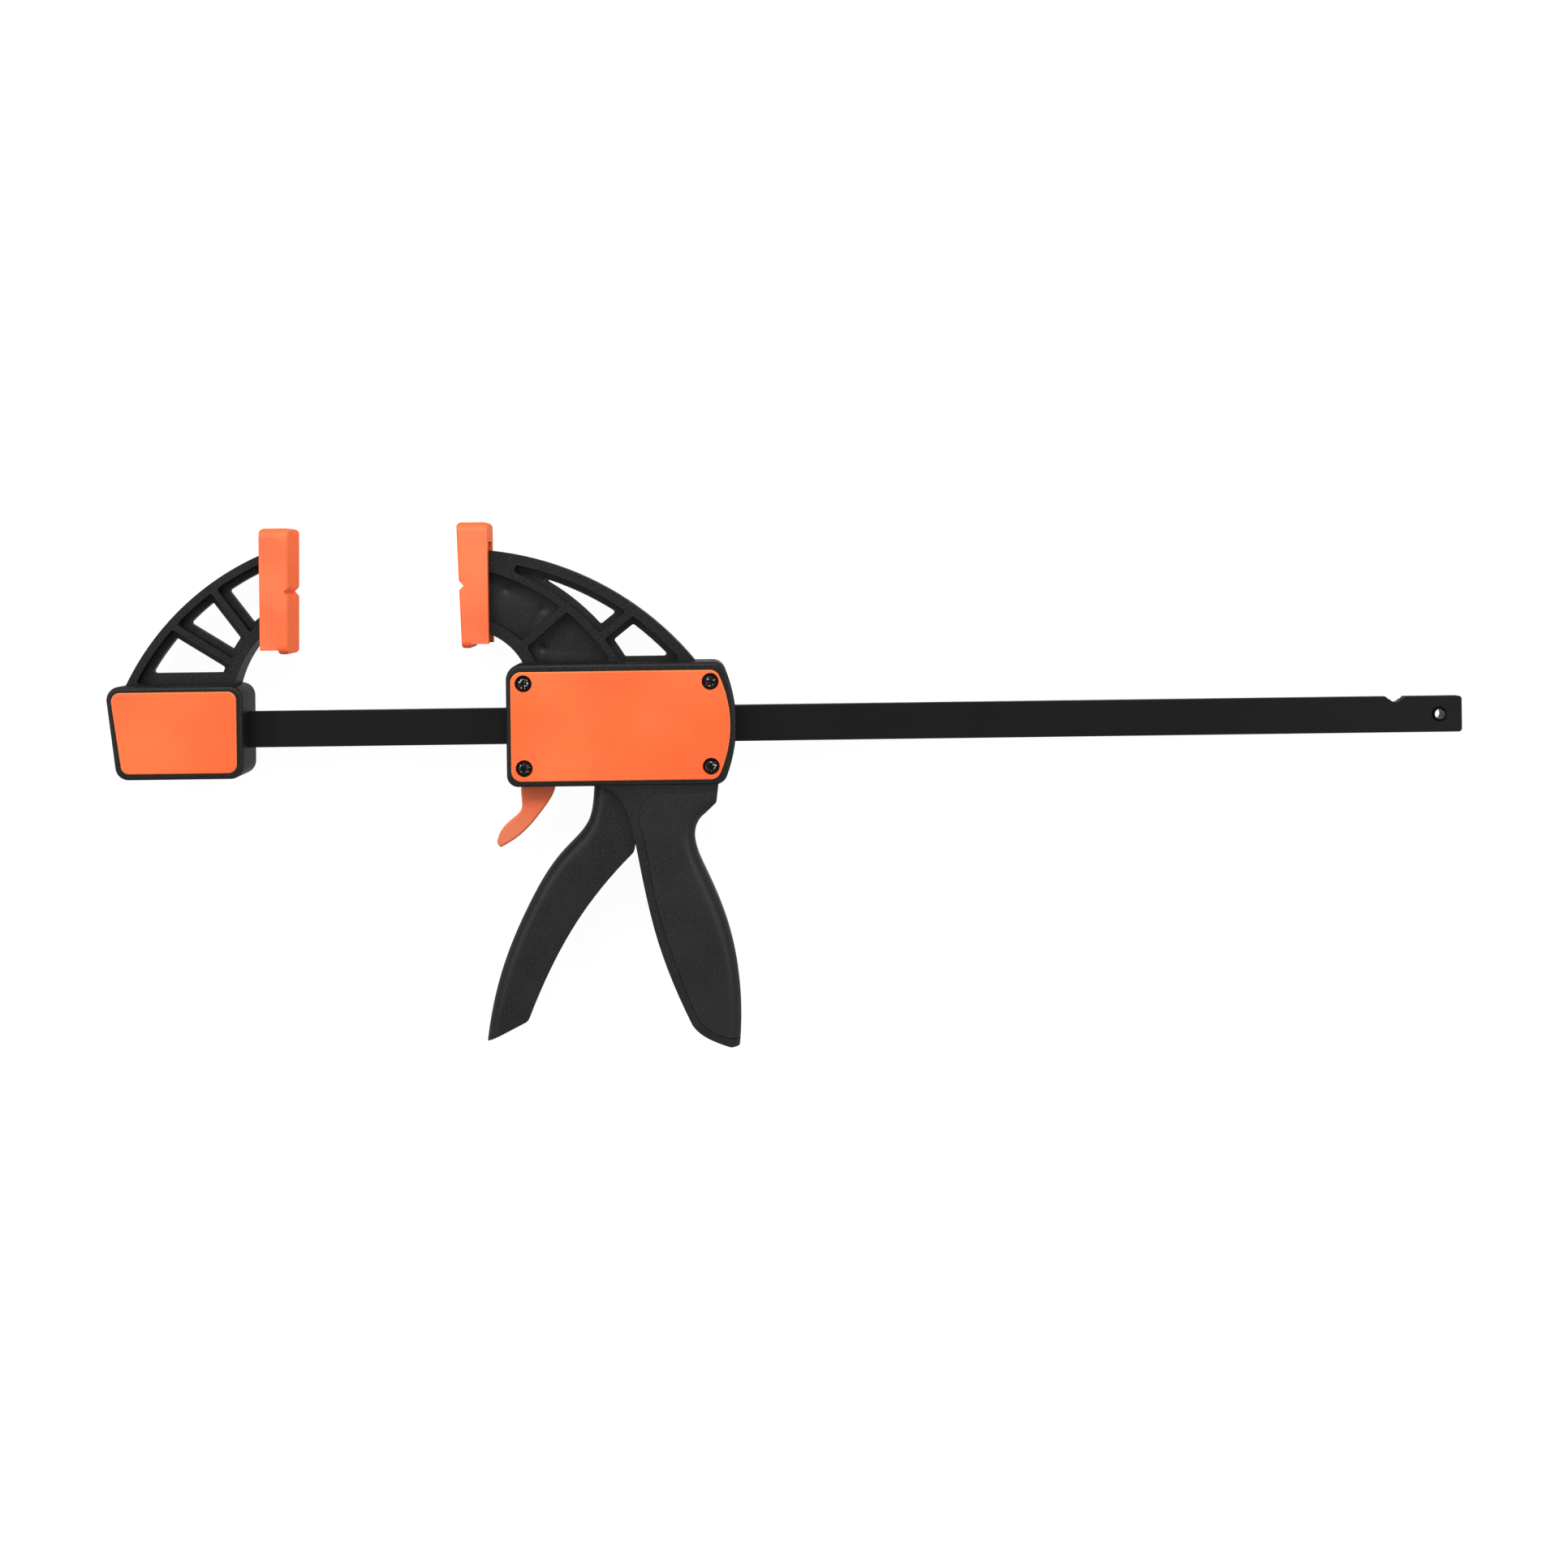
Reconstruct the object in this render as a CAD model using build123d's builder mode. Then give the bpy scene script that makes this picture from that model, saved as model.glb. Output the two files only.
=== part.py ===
from build123d import *
import os
from math import cos, radians, sin, tan

# Quick release bar clamp, 450 mm capacity, lying on its side.
# Working frame in millimetres: X along the bar from the fixed jaw's clamping face
# towards the free end, Y across the bar towards the jaw tips, Z across the width with
# the middle of the clamp at 0. The finished pieces move to the part's own frame at the end.

# ---------------------------------------------------------------- driving dimensions
# Two measures closer than this count as the same.
SAME = 0.01

# Bar: flat steel, the same at both ends.
BAR_LENGTH = 705.0
BAR_HEIGHT = 19.0
BAR_THICKNESS = 6.0
BAR_START = -88.0
BAR_CORNER_RADIUS = 1.8
BAR_EDGE_CHAMFER = 0.4
PIN_HOLE_FROM_END = 12.1
PIN_HOLE_RADIUS = 3.5
PIN_HOLE_CHAMFER = 0.5
NOTCH_FROM_END = 34.9
NOTCH_DEPTH = 3.0
NOTCH_RADIUS = 4.0
NOTCH_FLARE = 1.4
NOTCH_MOUTH_HALF = 5.25

# Pins.
PIN_FIT = 0.02
ROLL_PIN_WALL = 0.9
ROLL_PIN_SLOT = 1.3
ROLL_PIN_SLOT_ANGLE = 48.0
STOP_PIN_PROUD = 1.0
JAW_PIN_HALF_LENGTH = 14.6

# Widths of the mouldings, half each side of the middle.
ARM_HALF = 9.0
SHELL_HALF = 16.2
PLATE_HALF = 17.0
PLATE_THICKNESS = 2.0
PLATE_EDGE = 0.8
PLATE_GAP = 0.15
SHELL_EDGE = 2.2
GRIP_HALF = 15.0

# Ribbing of both arms.
POCKET_DEPTH = 6.5
POCKET_CORNER = 1.6
WINDOW_CORNER = 1.2
WINDOW_TIP = 0.4
WINDOW_LEDGE = 3.4
FIXED_WINDOW_FOOT = 6.2
MOVING_WINDOW_FOOT = 2.8

# Fixed jaw.
FIXED_ARM_OUTER = (40.2, -38.5, 142.0)
FIXED_ARM_INNER = (23.5, 10.5, 55.0)
FIXED_ARM_ROOT_Y = 20.0
FIXED_ARM_TIP_X = -7.0
FIXED_RIM_OUTER = 4.2
FIXED_RIM_INNER = 5.5
FIXED_RIB_WIDTH = 3.4
FIXED_RIBS = [((-46.3, 45.5), -32.0), ((-31.7, 62.2), -53.0)]
FIXED_POCKET_TIP_X = -9.5
BOSS_TOP = 24.2
BOSS_BOTTOM = -24.8
BOSS_RIGHT = -24.3
BOSS_LEFT_TOP = -96.6
BOSS_LEFT_BOTTOM = -90.7
BOSS_CORNER = 7.0
BOSS_RIM = 3.2
INLAY_CORNER = 4.5
BAR_SOCKET_GAP = 0.05

# Pads.
PAD_HALF = 15.0
PAD_FACE_CHAMFER = 0.9
PAD_CORNER = 2.3
PAD_END_RADIUS = 5.0
FIXED_PAD_SPAN = (42.0, 105.9)
MOVING_PAD_SPAN = (44.0, 107.8)
FIXED_GROOVE_Y = 72.5
MOVING_GROOVE_Y = 74.6
MOVING_FACE_X = 89.3
PAD_DEPTH = 15.0
PAD_LIP_DEPTH = 5.2
PAD_LIP_DROP = 2.2
PAD_LIP_CORNER = 1.6
GROOVE_WIDTH = 5.0
GROOVE_DEPTH = 2.4
FACE_GROOVE_WIDTH = 3.4
FACE_GROOVE_DEPTH = 1.7
FIXED_TOE_IN = 0.75
MOVING_TOE_IN = 1.95
TONGUE_HALF = 11.5
TONGUE_THICKNESS = 3.6
TONGUE_INSET = 5.2
TONGUE_BOTTOM = 47.0
TONGUE_TOP = 97.5
TONGUE_GAP = 0.12

# Sliding jaw; its X values count from the housing's front face.
HEAD_X = 113.0
HOUSING_TOP = 33.3
HOUSING_BOTTOM = -31.0
HOUSING_BACK = 113.2
HOUSING_BULGE = 7.0
HOUSING_BULGE_Y = 2.5
HOUSING_CORNER_TOP = 8.5
HOUSING_CORNER_BOTTOM = 6.0
HOUSING_CORNER_BACK = 7.0
COVER_INSET_FRONT = 2.5
COVER_INSET_TOP = 4.2
COVER_INSET_BOTTOM = 2.9
COVER_INSET_BACK = 3.2
COVER_CORNER = 5.5
CAVITY_FRONT = 5.4
CAVITY_BACK_SETBACK = 0.6
CAVITY_TOP = 26.2
CAVITY_BOTTOM = -25.6
CAVITY_CORNER = 3.0
CAVITY_HALF = 12.9
BAR_CLEARANCE = 0.3
SIDE_CLEARANCE = 0.5
BACK_WALL_LEFT = 1.0
GUIDE_RIB_X = 29.0
GUIDE_RIB_THICKNESS = 2.6
TRIGGER_WAY = (44.2, 80.0)
RELEASE_WAY = (6.0, 31.8)
COVER_BOSS_END = 12.6
COVER_BOSS_GAP = 0.1
COVER_BOSS_WALL = 1.0
PIN_BOSS_RADIUS = 5.0
SCREW_FRONT_X = 9.3
SCREW_BACK_SETBACK = 6.4
SCREW_YS = (23.0, -21.2)
SCREW_BOSS_RADIUS = 4.6
SCREW_POCKET_RADIUS = 4.5
SCREW_POCKET_DEPTH = 2.7
SCREW_FLANGE_RADIUS = 4.2
SCREW_FLANGE_HEIGHT = 0.8
SCREW_DOME_RADIUS = 3.0
SCREW_DOME_HEIGHT = 1.5
SCREW_SHANK_RADIUS = 1.75
SCREW_LENGTH = 14.0
SCREW_TIP_GAP = 0.5
CROSS_SLOT_WIDTH = 0.9
CROSS_SLOT_SPAN = 3.6
CROSS_SLOT_DEPTH = 1.3
CROSS_SLOT_TAPER = 8.0

# Moving arm.
MOVING_ARM_OUTER = (-27.8, -69.4, 163.5)
MOVING_ARM_INNER = (-21.4, 17.5, 34.0)
MOVING_ARM_TIP_X = -15.0
MOVING_RIM_OUTER = 5.3
MOVING_RIM_INNER = 6.3
LONG_RIB = (-39.3, -24.9, 113.0)
LONG_RIB_WIDTH = 4.0
CROSS_RIB_WIDTH = 4.0
OUTER_CROSS_RIBS = [((58.0, 53.2), 38.4)]
INNER_CROSS_RIBS = [((20.0, 52.4), 40.5)]
POCKET_START_OUTER = 5.0
POCKET_FOOT = 0.6
POCKET_START_INNER = -9.5
EJECTOR_MARKS = [(19.1, 61.7, 3.5), (18.6, 41.2, 3.5), (-0.5, 72.8, 3.5), (19.7, 77.9, 1.8)]
EJECTOR_SLOPE = 20.0
EJECTOR_FULLNESS = 0.9

# Grip and its soft palm cover.
GRIP_BACK_SKIN = 1.2
GRIP_WALL = 2.2
GRIP_PALM_RADIUS = 9.0
GRIP_SLOT_HALF = 12.0
GRIP_CHANNEL = [(97.4, -152.0), (84.4, -112.5), (80.0, -61.6)]
NECK_TOP = (46.2, -26.0)
NECK_FRONT = [(46.2, -30.7), (55.6, -34.4), (60.6, -40.7), (64.5, -51.0), (66.8, -61.6)]
GRIP_FRONT = [(66.8, -61.6), (70.0, -79.0), (77.8, -112.5), (89.0, -142.9), (95.2, -156.4)]
GRIP_END = [(95.2, -156.4), (101.6, -162.5), (109.2, -166.2), (115.4, -168.6)]
GRIP_BACK = [
    (120.2, -168.5), (121.1, -151.0), (119.9, -130.0), (113.8, -102.5),
    (103.6, -77.4), (98.2, -62.4), (98.6, -53.6), (102.8, -47.4),
]
NECK_BACK = [(109.3, -40.5), (111.0, -26.0)]
PANEL_FRONT = [(68.3, -49.8), (72.4, -66.5), (75.9, -87.4), (82.7, -112.6), (91.4, -137.5), (98.2, -153.6)]
PANEL_TOP_Y = -35.2
PANEL_TOP_CORNER = (81.0, -35.3)
PANEL_BEND = (72.0, -39.4)
PANEL_END = [(98.2, -153.6), (103.8, -159.4), (116.0, -164.2), (130.0, -166.6)]

# Trigger lever.
TRIGGER_HALF = 11.4
TRIGGER_FRONT_RADIUS = 8.0
TRIGGER_PIVOT = (47.0, 19.2)
TRIGGER_HUB_RADIUS = 6.4
TRIGGER_PIN_RADIUS = 2.5
TRIGGER_PIN_FIT = 0.05
FORK_HALF_GAP = 4.0
FORK_REACH = 42.0
CHEEK_WIDTH = 10.0
TRIGGER_FRONT = [
    (45.2, -24.0), (44.6, -38.0), (41.7, -50.5), (28.7, -65.8), (10.1, -93.6),
    (-4.3, -127.0), (-12.9, -165.4),
]
TRIGGER_REAR = [(9.3, -154.1), (19.9, -129.8), (37.4, -99.4), (53.3, -79.2), (66.0, -66.0)]
TRIGGER_HEEL = [(66.0, -66.0), (66.2, -60.0), (58.5, -36.0), (54.0, -23.0)]
TRIGGER_END_RADIUS = 5.0
TRIGGER_HEEL_RADIUS = 5.0
NOSE = (54.4, -14.0)
NOSE_RADIUS = 2.4

# Jamming plates on the bar.
JAM_PLATE_THICKNESS = 3.0
JAM_PLATE_HALF_WIDTH = 9.5
JAM_PLATE_HALF_HEIGHT = 17.0
JAM_PLATE_CORNER = 1.0
JAM_SLOT_GAP = 0.35
DRIVE_START = 57.1

# Springs.
DRIVE_SPRING_RADIUS = 11.3
DRIVE_SPRING_WIRE = 0.9
DRIVE_SPRING_TURNS = 8
SPRING_SEAT_GAP = 0.25
BRAKE_SPRING_RADIUS = 2.9
BRAKE_SPRING_WIRE = 0.4
BRAKE_SPRING_TURNS = 4
BRAKE_SPRING_Y = -16.0

# Brake plates and release trigger.
BRAKE_ANCHOR = (23.0, 22.0)
BRAKE_TILT = 8.0
BRAKE_PLATE_THICKNESS = 2.6
BRAKE_TOP = 2.2
BRAKE_SHOULDER = 42.5
BRAKE_END = 55.0
BRAKE_TAIL_HALF = 3.4
BRAKE_TAIL_OVERLAP = 2.0
BRAKE_TAIL_CORNER = 0.8
BRAKE_LUG_GAP = 0.5
BRAKE_LUG_DEPTH = 5.6
BRAKE_LUG_WIDTH = 2.4
RELEASE_HALF = 5.2
RELEASE_EDGE = 0.9
RELEASE_FRONT = [(8.6, -26.4), (6.6, -37.4), (6.5, -43.5), (0.0, -50.4), (-5.8, -58.3)]
RELEASE_TIP = [(-5.8, -58.3), (-6.4, -61.4), (-4.7, -63.7)]
RELEASE_REAR = [(-4.7, -63.7), (7.0, -56.2), (18.5, -43.2), (24.0, -33.1), (23.0, -26.4)]
RELEASE_FIT = 0.05

# ---------------------------------------------------------------- derived places
MID = Plane.XY
HEAD = Plane(origin=(HEAD_X, 0, 0))
BAR_MID_X = BAR_START + BAR_LENGTH / 2
BAR_TOP = BAR_HEIGHT / 2
JAW_PIN_X = BAR_START + PIN_HOLE_FROM_END
JAW_DOWEL_X = BAR_START + NOTCH_FROM_END
DOWEL_Y = BAR_TOP - NOTCH_DEPTH + NOTCH_RADIUS
STOP_PIN_X = BAR_START + BAR_LENGTH - PIN_HOLE_FROM_END
PLATE_SEAT = PLATE_HALF - PLATE_THICKNESS
CAVITY_BACK = HOUSING_BACK - CAVITY_BACK_SETBACK
SCREW_XS = (SCREW_FRONT_X, HOUSING_BACK - SCREW_BACK_SETBACK)
SCREW_SPOTS = [(x, y) for x in SCREW_XS for y in SCREW_YS]
POCKET_FLOOR = PLATE_HALF - SCREW_POCKET_DEPTH
PAD_REACH = 2 * PAD_DEPTH
CAVITY_MIDDLE = ((CAVITY_FRONT + CAVITY_BACK) / 2, (CAVITY_TOP + CAVITY_BOTTOM) / 2)


def arm_outline(outer, inner, left, right, bottom):
    """Arm blank in a sketch: inside the outer circle, outside the inner one."""
    with Locations(outer[:2]):
        Circle(outer[2])
    with Locations(((left + right) / 2, bottom + outer[2] / 2)):
        Rectangle(right - left, outer[2], mode=Mode.INTERSECT)
    with Locations(inner[:2]):
        Circle(inner[2], mode=Mode.SUBTRACT)


def cut_ribs(ribs, width, length):
    """Leave straight ribs standing across a pocket sketch."""
    for spot, angle in ribs:
        with Locations(spot):
            Rectangle(length, width, rotation=angle, mode=Mode.SUBTRACT)


def grown(circle, amount):
    """Same centre, another radius."""
    return (circle[0], circle[1], circle[2] + amount)


def fixed_arm_pockets(inset, corner, foot):
    """Spaces between the fixed arm's rims and ribs, set in by inset and by foot above the boss."""
    arm_outline(
        grown(FIXED_ARM_OUTER, -FIXED_RIM_OUTER - inset),
        grown(FIXED_ARM_INNER, FIXED_RIM_INNER + inset),
        BOSS_LEFT_TOP, FIXED_POCKET_TIP_X - inset, BOSS_TOP + foot,
    )
    cut_ribs(FIXED_RIBS, FIXED_RIB_WIDTH + 2 * inset, FIXED_ARM_OUTER[2])
    fillet(vertices(), radius=corner)


def moving_outer_pockets(inset, corner, tip, foot):
    """Spaces above the moving arm's long rib, set in by inset and by foot above the housing."""
    arm_outline(
        grown(MOVING_ARM_OUTER, -MOVING_RIM_OUTER - inset),
        grown(LONG_RIB, LONG_RIB_WIDTH / 2 + inset),
        POCKET_START_OUTER + inset, HOUSING_BACK, HOUSING_TOP + foot,
    )
    cut_ribs(OUTER_CROSS_RIBS, CROSS_RIB_WIDTH + 2 * inset, MOVING_ARM_OUTER[2])
    fillet(vertices().sort_by(Axis.X)[1:], radius=corner)
    fillet(vertices().sort_by(Axis.X)[:1], radius=tip)


def moving_inner_pockets(corner):
    """Spaces below the moving arm's long rib."""
    arm_outline(
        grown(LONG_RIB, -LONG_RIB_WIDTH / 2),
        grown(MOVING_ARM_INNER, MOVING_RIM_INNER),
        POCKET_START_INNER, HOUSING_BACK, HOUSING_TOP + POCKET_FOOT,
    )
    cut_ribs(INNER_CROSS_RIBS, CROSS_RIB_WIDTH, MOVING_ARM_OUTER[2])
    fillet(vertices(), radius=corner)


def housing_outline(front, top, bottom, back, front_top, front_bottom, back_corner):
    """Housing's side outline with its bulged back, set in by the first four values."""
    low = HOUSING_BOTTOM + bottom
    high = HOUSING_TOP - top
    edge_x = HOUSING_BACK - back
    with BuildSketch() as outline:
        with BuildLine():
            Polyline((edge_x, high), (front, high), (front, low), (edge_x, low))
            ThreePointArc((edge_x, low), (edge_x + HOUSING_BULGE, HOUSING_BULGE_Y), (edge_x, high))
        make_face()
        for x, y, radius in ((front, high, front_top), (front, low, front_bottom),
                             (edge_x, high, back_corner), (edge_x, low, back_corner)):
            fillet(outline.vertices().sort_by_distance(Vertex(x, y, 0))[0], radius=radius)
    return outline.sketch


def cover_outline(gap):
    """Side plate on the housing, grown by gap for its seat."""
    return housing_outline(
        COVER_INSET_FRONT - gap, COVER_INSET_TOP - gap, COVER_INSET_BOTTOM - gap, COVER_INSET_BACK - gap,
        COVER_CORNER + gap, COVER_CORNER + gap, COVER_CORNER + gap,
    )


def boss_outline(inset, corner):
    """Fixed jaw's boss with its slanted end, set in by inset."""
    with BuildSketch() as outline:
        with BuildLine():
            Polyline(
                (BOSS_RIGHT - inset, BOSS_TOP - inset), (BOSS_LEFT_TOP + inset, BOSS_TOP - inset),
                (BOSS_LEFT_BOTTOM + inset, BOSS_BOTTOM + inset), (BOSS_RIGHT - inset, BOSS_BOTTOM + inset),
                close=True,
            )
        make_face()
        fillet(outline.vertices(), radius=corner)
    return outline.sketch


def grip_outline(skin):
    """Neck and grip from the side, reaching up into the housing, its back set in by skin."""
    back = [(x - skin, y) for x, y in GRIP_BACK]
    neck = [(x - skin, y) for x, y in NECK_BACK]
    with BuildSketch() as outline:
        with BuildLine():
            Line(NECK_TOP, NECK_FRONT[0])
            Spline(*NECK_FRONT)
            Spline(*GRIP_FRONT)
            Spline(*GRIP_END)
            Line(GRIP_END[-1], back[0])
            Spline(*back)
            Polyline(back[-1], *neck, NECK_TOP)
        make_face()
    return outline.sketch


def side_rims(part):
    """Outer edges of the two flat sides of a housing or boss."""
    sides = part.faces().filter_by(Plane.XY).filter_by(lambda f: abs(abs(f.center().Z) - SHELL_HALF) < SAME)
    return sides.edges()


def long_edges(part, spots, half):
    """Edges of an extruded piece, at its two side faces, that pass near the given spots."""
    chosen = ShapeList()
    for side in (half, -half):
        for x, y in spots:
            spot = Vertex(x, y, side)
            chosen.append(part.edges().sort_by_distance(spot)[0])
    return chosen


# ---------------------------------------------------------------- bar and fixed jaw body
with BuildPart() as bar:
    with BuildSketch(MID):
        with Locations((BAR_MID_X, 0)):
            RectangleRounded(BAR_LENGTH, BAR_HEIGHT, BAR_CORNER_RADIUS)
        for end in (-1, 1):
            notch_x = BAR_MID_X + end * (BAR_LENGTH / 2 - NOTCH_FROM_END)
            with Locations((notch_x, DOWEL_Y)):
                Circle(NOTCH_RADIUS, mode=Mode.SUBTRACT)
            with BuildLine():
                Polyline((notch_x - NOTCH_MOUTH_HALF, BAR_TOP), (notch_x + NOTCH_MOUTH_HALF, BAR_TOP),
                         (notch_x + NOTCH_MOUTH_HALF - NOTCH_FLARE, BAR_TOP - NOTCH_FLARE),
                         (notch_x - NOTCH_MOUTH_HALF + NOTCH_FLARE, BAR_TOP - NOTCH_FLARE), close=True)
            make_face(mode=Mode.SUBTRACT)
    extrude(amount=BAR_THICKNESS / 2, both=True)
    for end in (-1, 1):
        with Locations((BAR_MID_X + end * (BAR_LENGTH / 2 - PIN_HOLE_FROM_END), 0, BAR_THICKNESS / 2)):
            Hole(PIN_HOLE_RADIUS, depth=BAR_THICKNESS)
    outer_edges = bar.faces().sort_by(Axis.Z)[-1].outer_wire().edges()
    outer_edges += bar.faces().sort_by(Axis.Z)[0].outer_wire().edges()
    chamfer(outer_edges, length=BAR_EDGE_CHAMFER)
    round_edges = bar.edges().filter_by(GeomType.CIRCLE)
    hole_edges = round_edges.filter_by(lambda edge: abs(edge.radius - PIN_HOLE_RADIUS) < SAME)
    chamfer(hole_edges, length=PIN_HOLE_CHAMFER)

# Slotted spring pin that stops the sliding jaw at the free end.
with BuildPart() as stop_pin:
    with BuildSketch(MID):
        with Locations((STOP_PIN_X, 0)):
            Circle(PIN_HOLE_RADIUS - PIN_FIT)
            Circle(PIN_HOLE_RADIUS - ROLL_PIN_WALL, mode=Mode.SUBTRACT)
        slot_reach = PIN_HOLE_RADIUS - ROLL_PIN_WALL / 2
        with Locations((STOP_PIN_X + slot_reach * cos(radians(ROLL_PIN_SLOT_ANGLE)),
                        slot_reach * sin(radians(ROLL_PIN_SLOT_ANGLE)))):
            Rectangle(2 * ROLL_PIN_WALL, ROLL_PIN_SLOT, rotation=ROLL_PIN_SLOT_ANGLE, mode=Mode.SUBTRACT)
    extrude(amount=BAR_THICKNESS / 2 + STOP_PIN_PROUD, both=True)

with BuildPart() as fixed_jaw_pin:
    with BuildSketch(MID):
        with Locations((JAW_PIN_X, 0)):
            Circle(PIN_HOLE_RADIUS - PIN_FIT)
            Circle(PIN_HOLE_RADIUS - ROLL_PIN_WALL, mode=Mode.SUBTRACT)
        with Locations((JAW_PIN_X, PIN_HOLE_RADIUS - ROLL_PIN_WALL / 2)):
            Rectangle(ROLL_PIN_SLOT, 2 * ROLL_PIN_WALL, mode=Mode.SUBTRACT)
    extrude(amount=JAW_PIN_HALF_LENGTH, both=True)

with BuildPart() as fixed_jaw_dowel:
    with BuildSketch(MID):
        with Locations((JAW_DOWEL_X, DOWEL_Y)):
            Circle(NOTCH_RADIUS - PIN_FIT)
    extrude(amount=JAW_PIN_HALF_LENGTH, both=True)
    chamfer(edges().filter_by(GeomType.CIRCLE), length=BAR_EDGE_CHAMFER)

with BuildPart() as fixed_jaw:
    with BuildSketch(MID):
        arm_outline(FIXED_ARM_OUTER, FIXED_ARM_INNER, BOSS_LEFT_TOP, FIXED_ARM_TIP_X, FIXED_ARM_ROOT_Y)
    extrude(amount=ARM_HALF, both=True)
    # Ribbed pockets from both sides with windows through the web.
    for side in (1, -1):
        with BuildSketch(MID.offset(side * ARM_HALF)):
            fixed_arm_pockets(0.0, POCKET_CORNER, POCKET_FOOT)
        extrude(amount=-side * POCKET_DEPTH, mode=Mode.SUBTRACT)
    with BuildSketch(MID):
        fixed_arm_pockets(WINDOW_LEDGE, WINDOW_CORNER, FIXED_WINDOW_FOOT)
    extrude(amount=ARM_HALF, both=True, mode=Mode.SUBTRACT)

    # Thick boss round the bar's end, its socket, pin holes and inlay seats.
    with BuildSketch(MID):
        add(boss_outline(0.0, BOSS_CORNER))
    extrude(amount=SHELL_HALF, both=True)
    fillet(side_rims(fixed_jaw), radius=SHELL_EDGE)
    for side in (1, -1):
        with BuildSketch(MID.offset(side * PLATE_SEAT)):
            add(boss_outline(BOSS_RIM - PLATE_GAP, INLAY_CORNER + PLATE_GAP))
        extrude(amount=side * PLATE_THICKNESS, mode=Mode.SUBTRACT)
    with BuildSketch(Plane.YZ.offset(BAR_START - BAR_SOCKET_GAP)):
        Rectangle(BAR_HEIGHT + 2 * BAR_SOCKET_GAP, BAR_THICKNESS + 2 * BAR_SOCKET_GAP)
    extrude(amount=-BAR_START, mode=Mode.SUBTRACT)
    with BuildSketch(MID):
        with Locations((JAW_PIN_X, 0)):
            Circle(PIN_HOLE_RADIUS)
        with Locations((JAW_DOWEL_X, DOWEL_Y)):
            Circle(NOTCH_RADIUS)
    extrude(amount=PLATE_SEAT, both=True, mode=Mode.SUBTRACT)
    # Plate across the arm's tip that the pad slides over.
    with BuildSketch(Plane.YZ.offset(-TONGUE_INSET - TONGUE_THICKNESS)):
        with Locations(((TONGUE_BOTTOM + TONGUE_TOP) / 2, 0)):
            Rectangle(TONGUE_TOP - TONGUE_BOTTOM, 2 * TONGUE_HALF)
    extrude(amount=TONGUE_THICKNESS)


def build_inlay(side):
    """Panel let into the boss, on the front for side 1 and on the back for side -1."""
    with BuildPart() as inlay:
        with BuildSketch(MID.offset(side * PLATE_SEAT)):
            add(boss_outline(BOSS_RIM, INLAY_CORNER))
        extrude(amount=side * PLATE_THICKNESS)
        outer_face = inlay.faces().sort_by(Axis.Z, reverse=side > 0)[0]
        fillet(outer_face.edges(), radius=PLATE_EDGE)
    return inlay


fixed_jaw_front_inlay = build_inlay(1)
fixed_jaw_back_inlay = build_inlay(-1)


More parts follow.
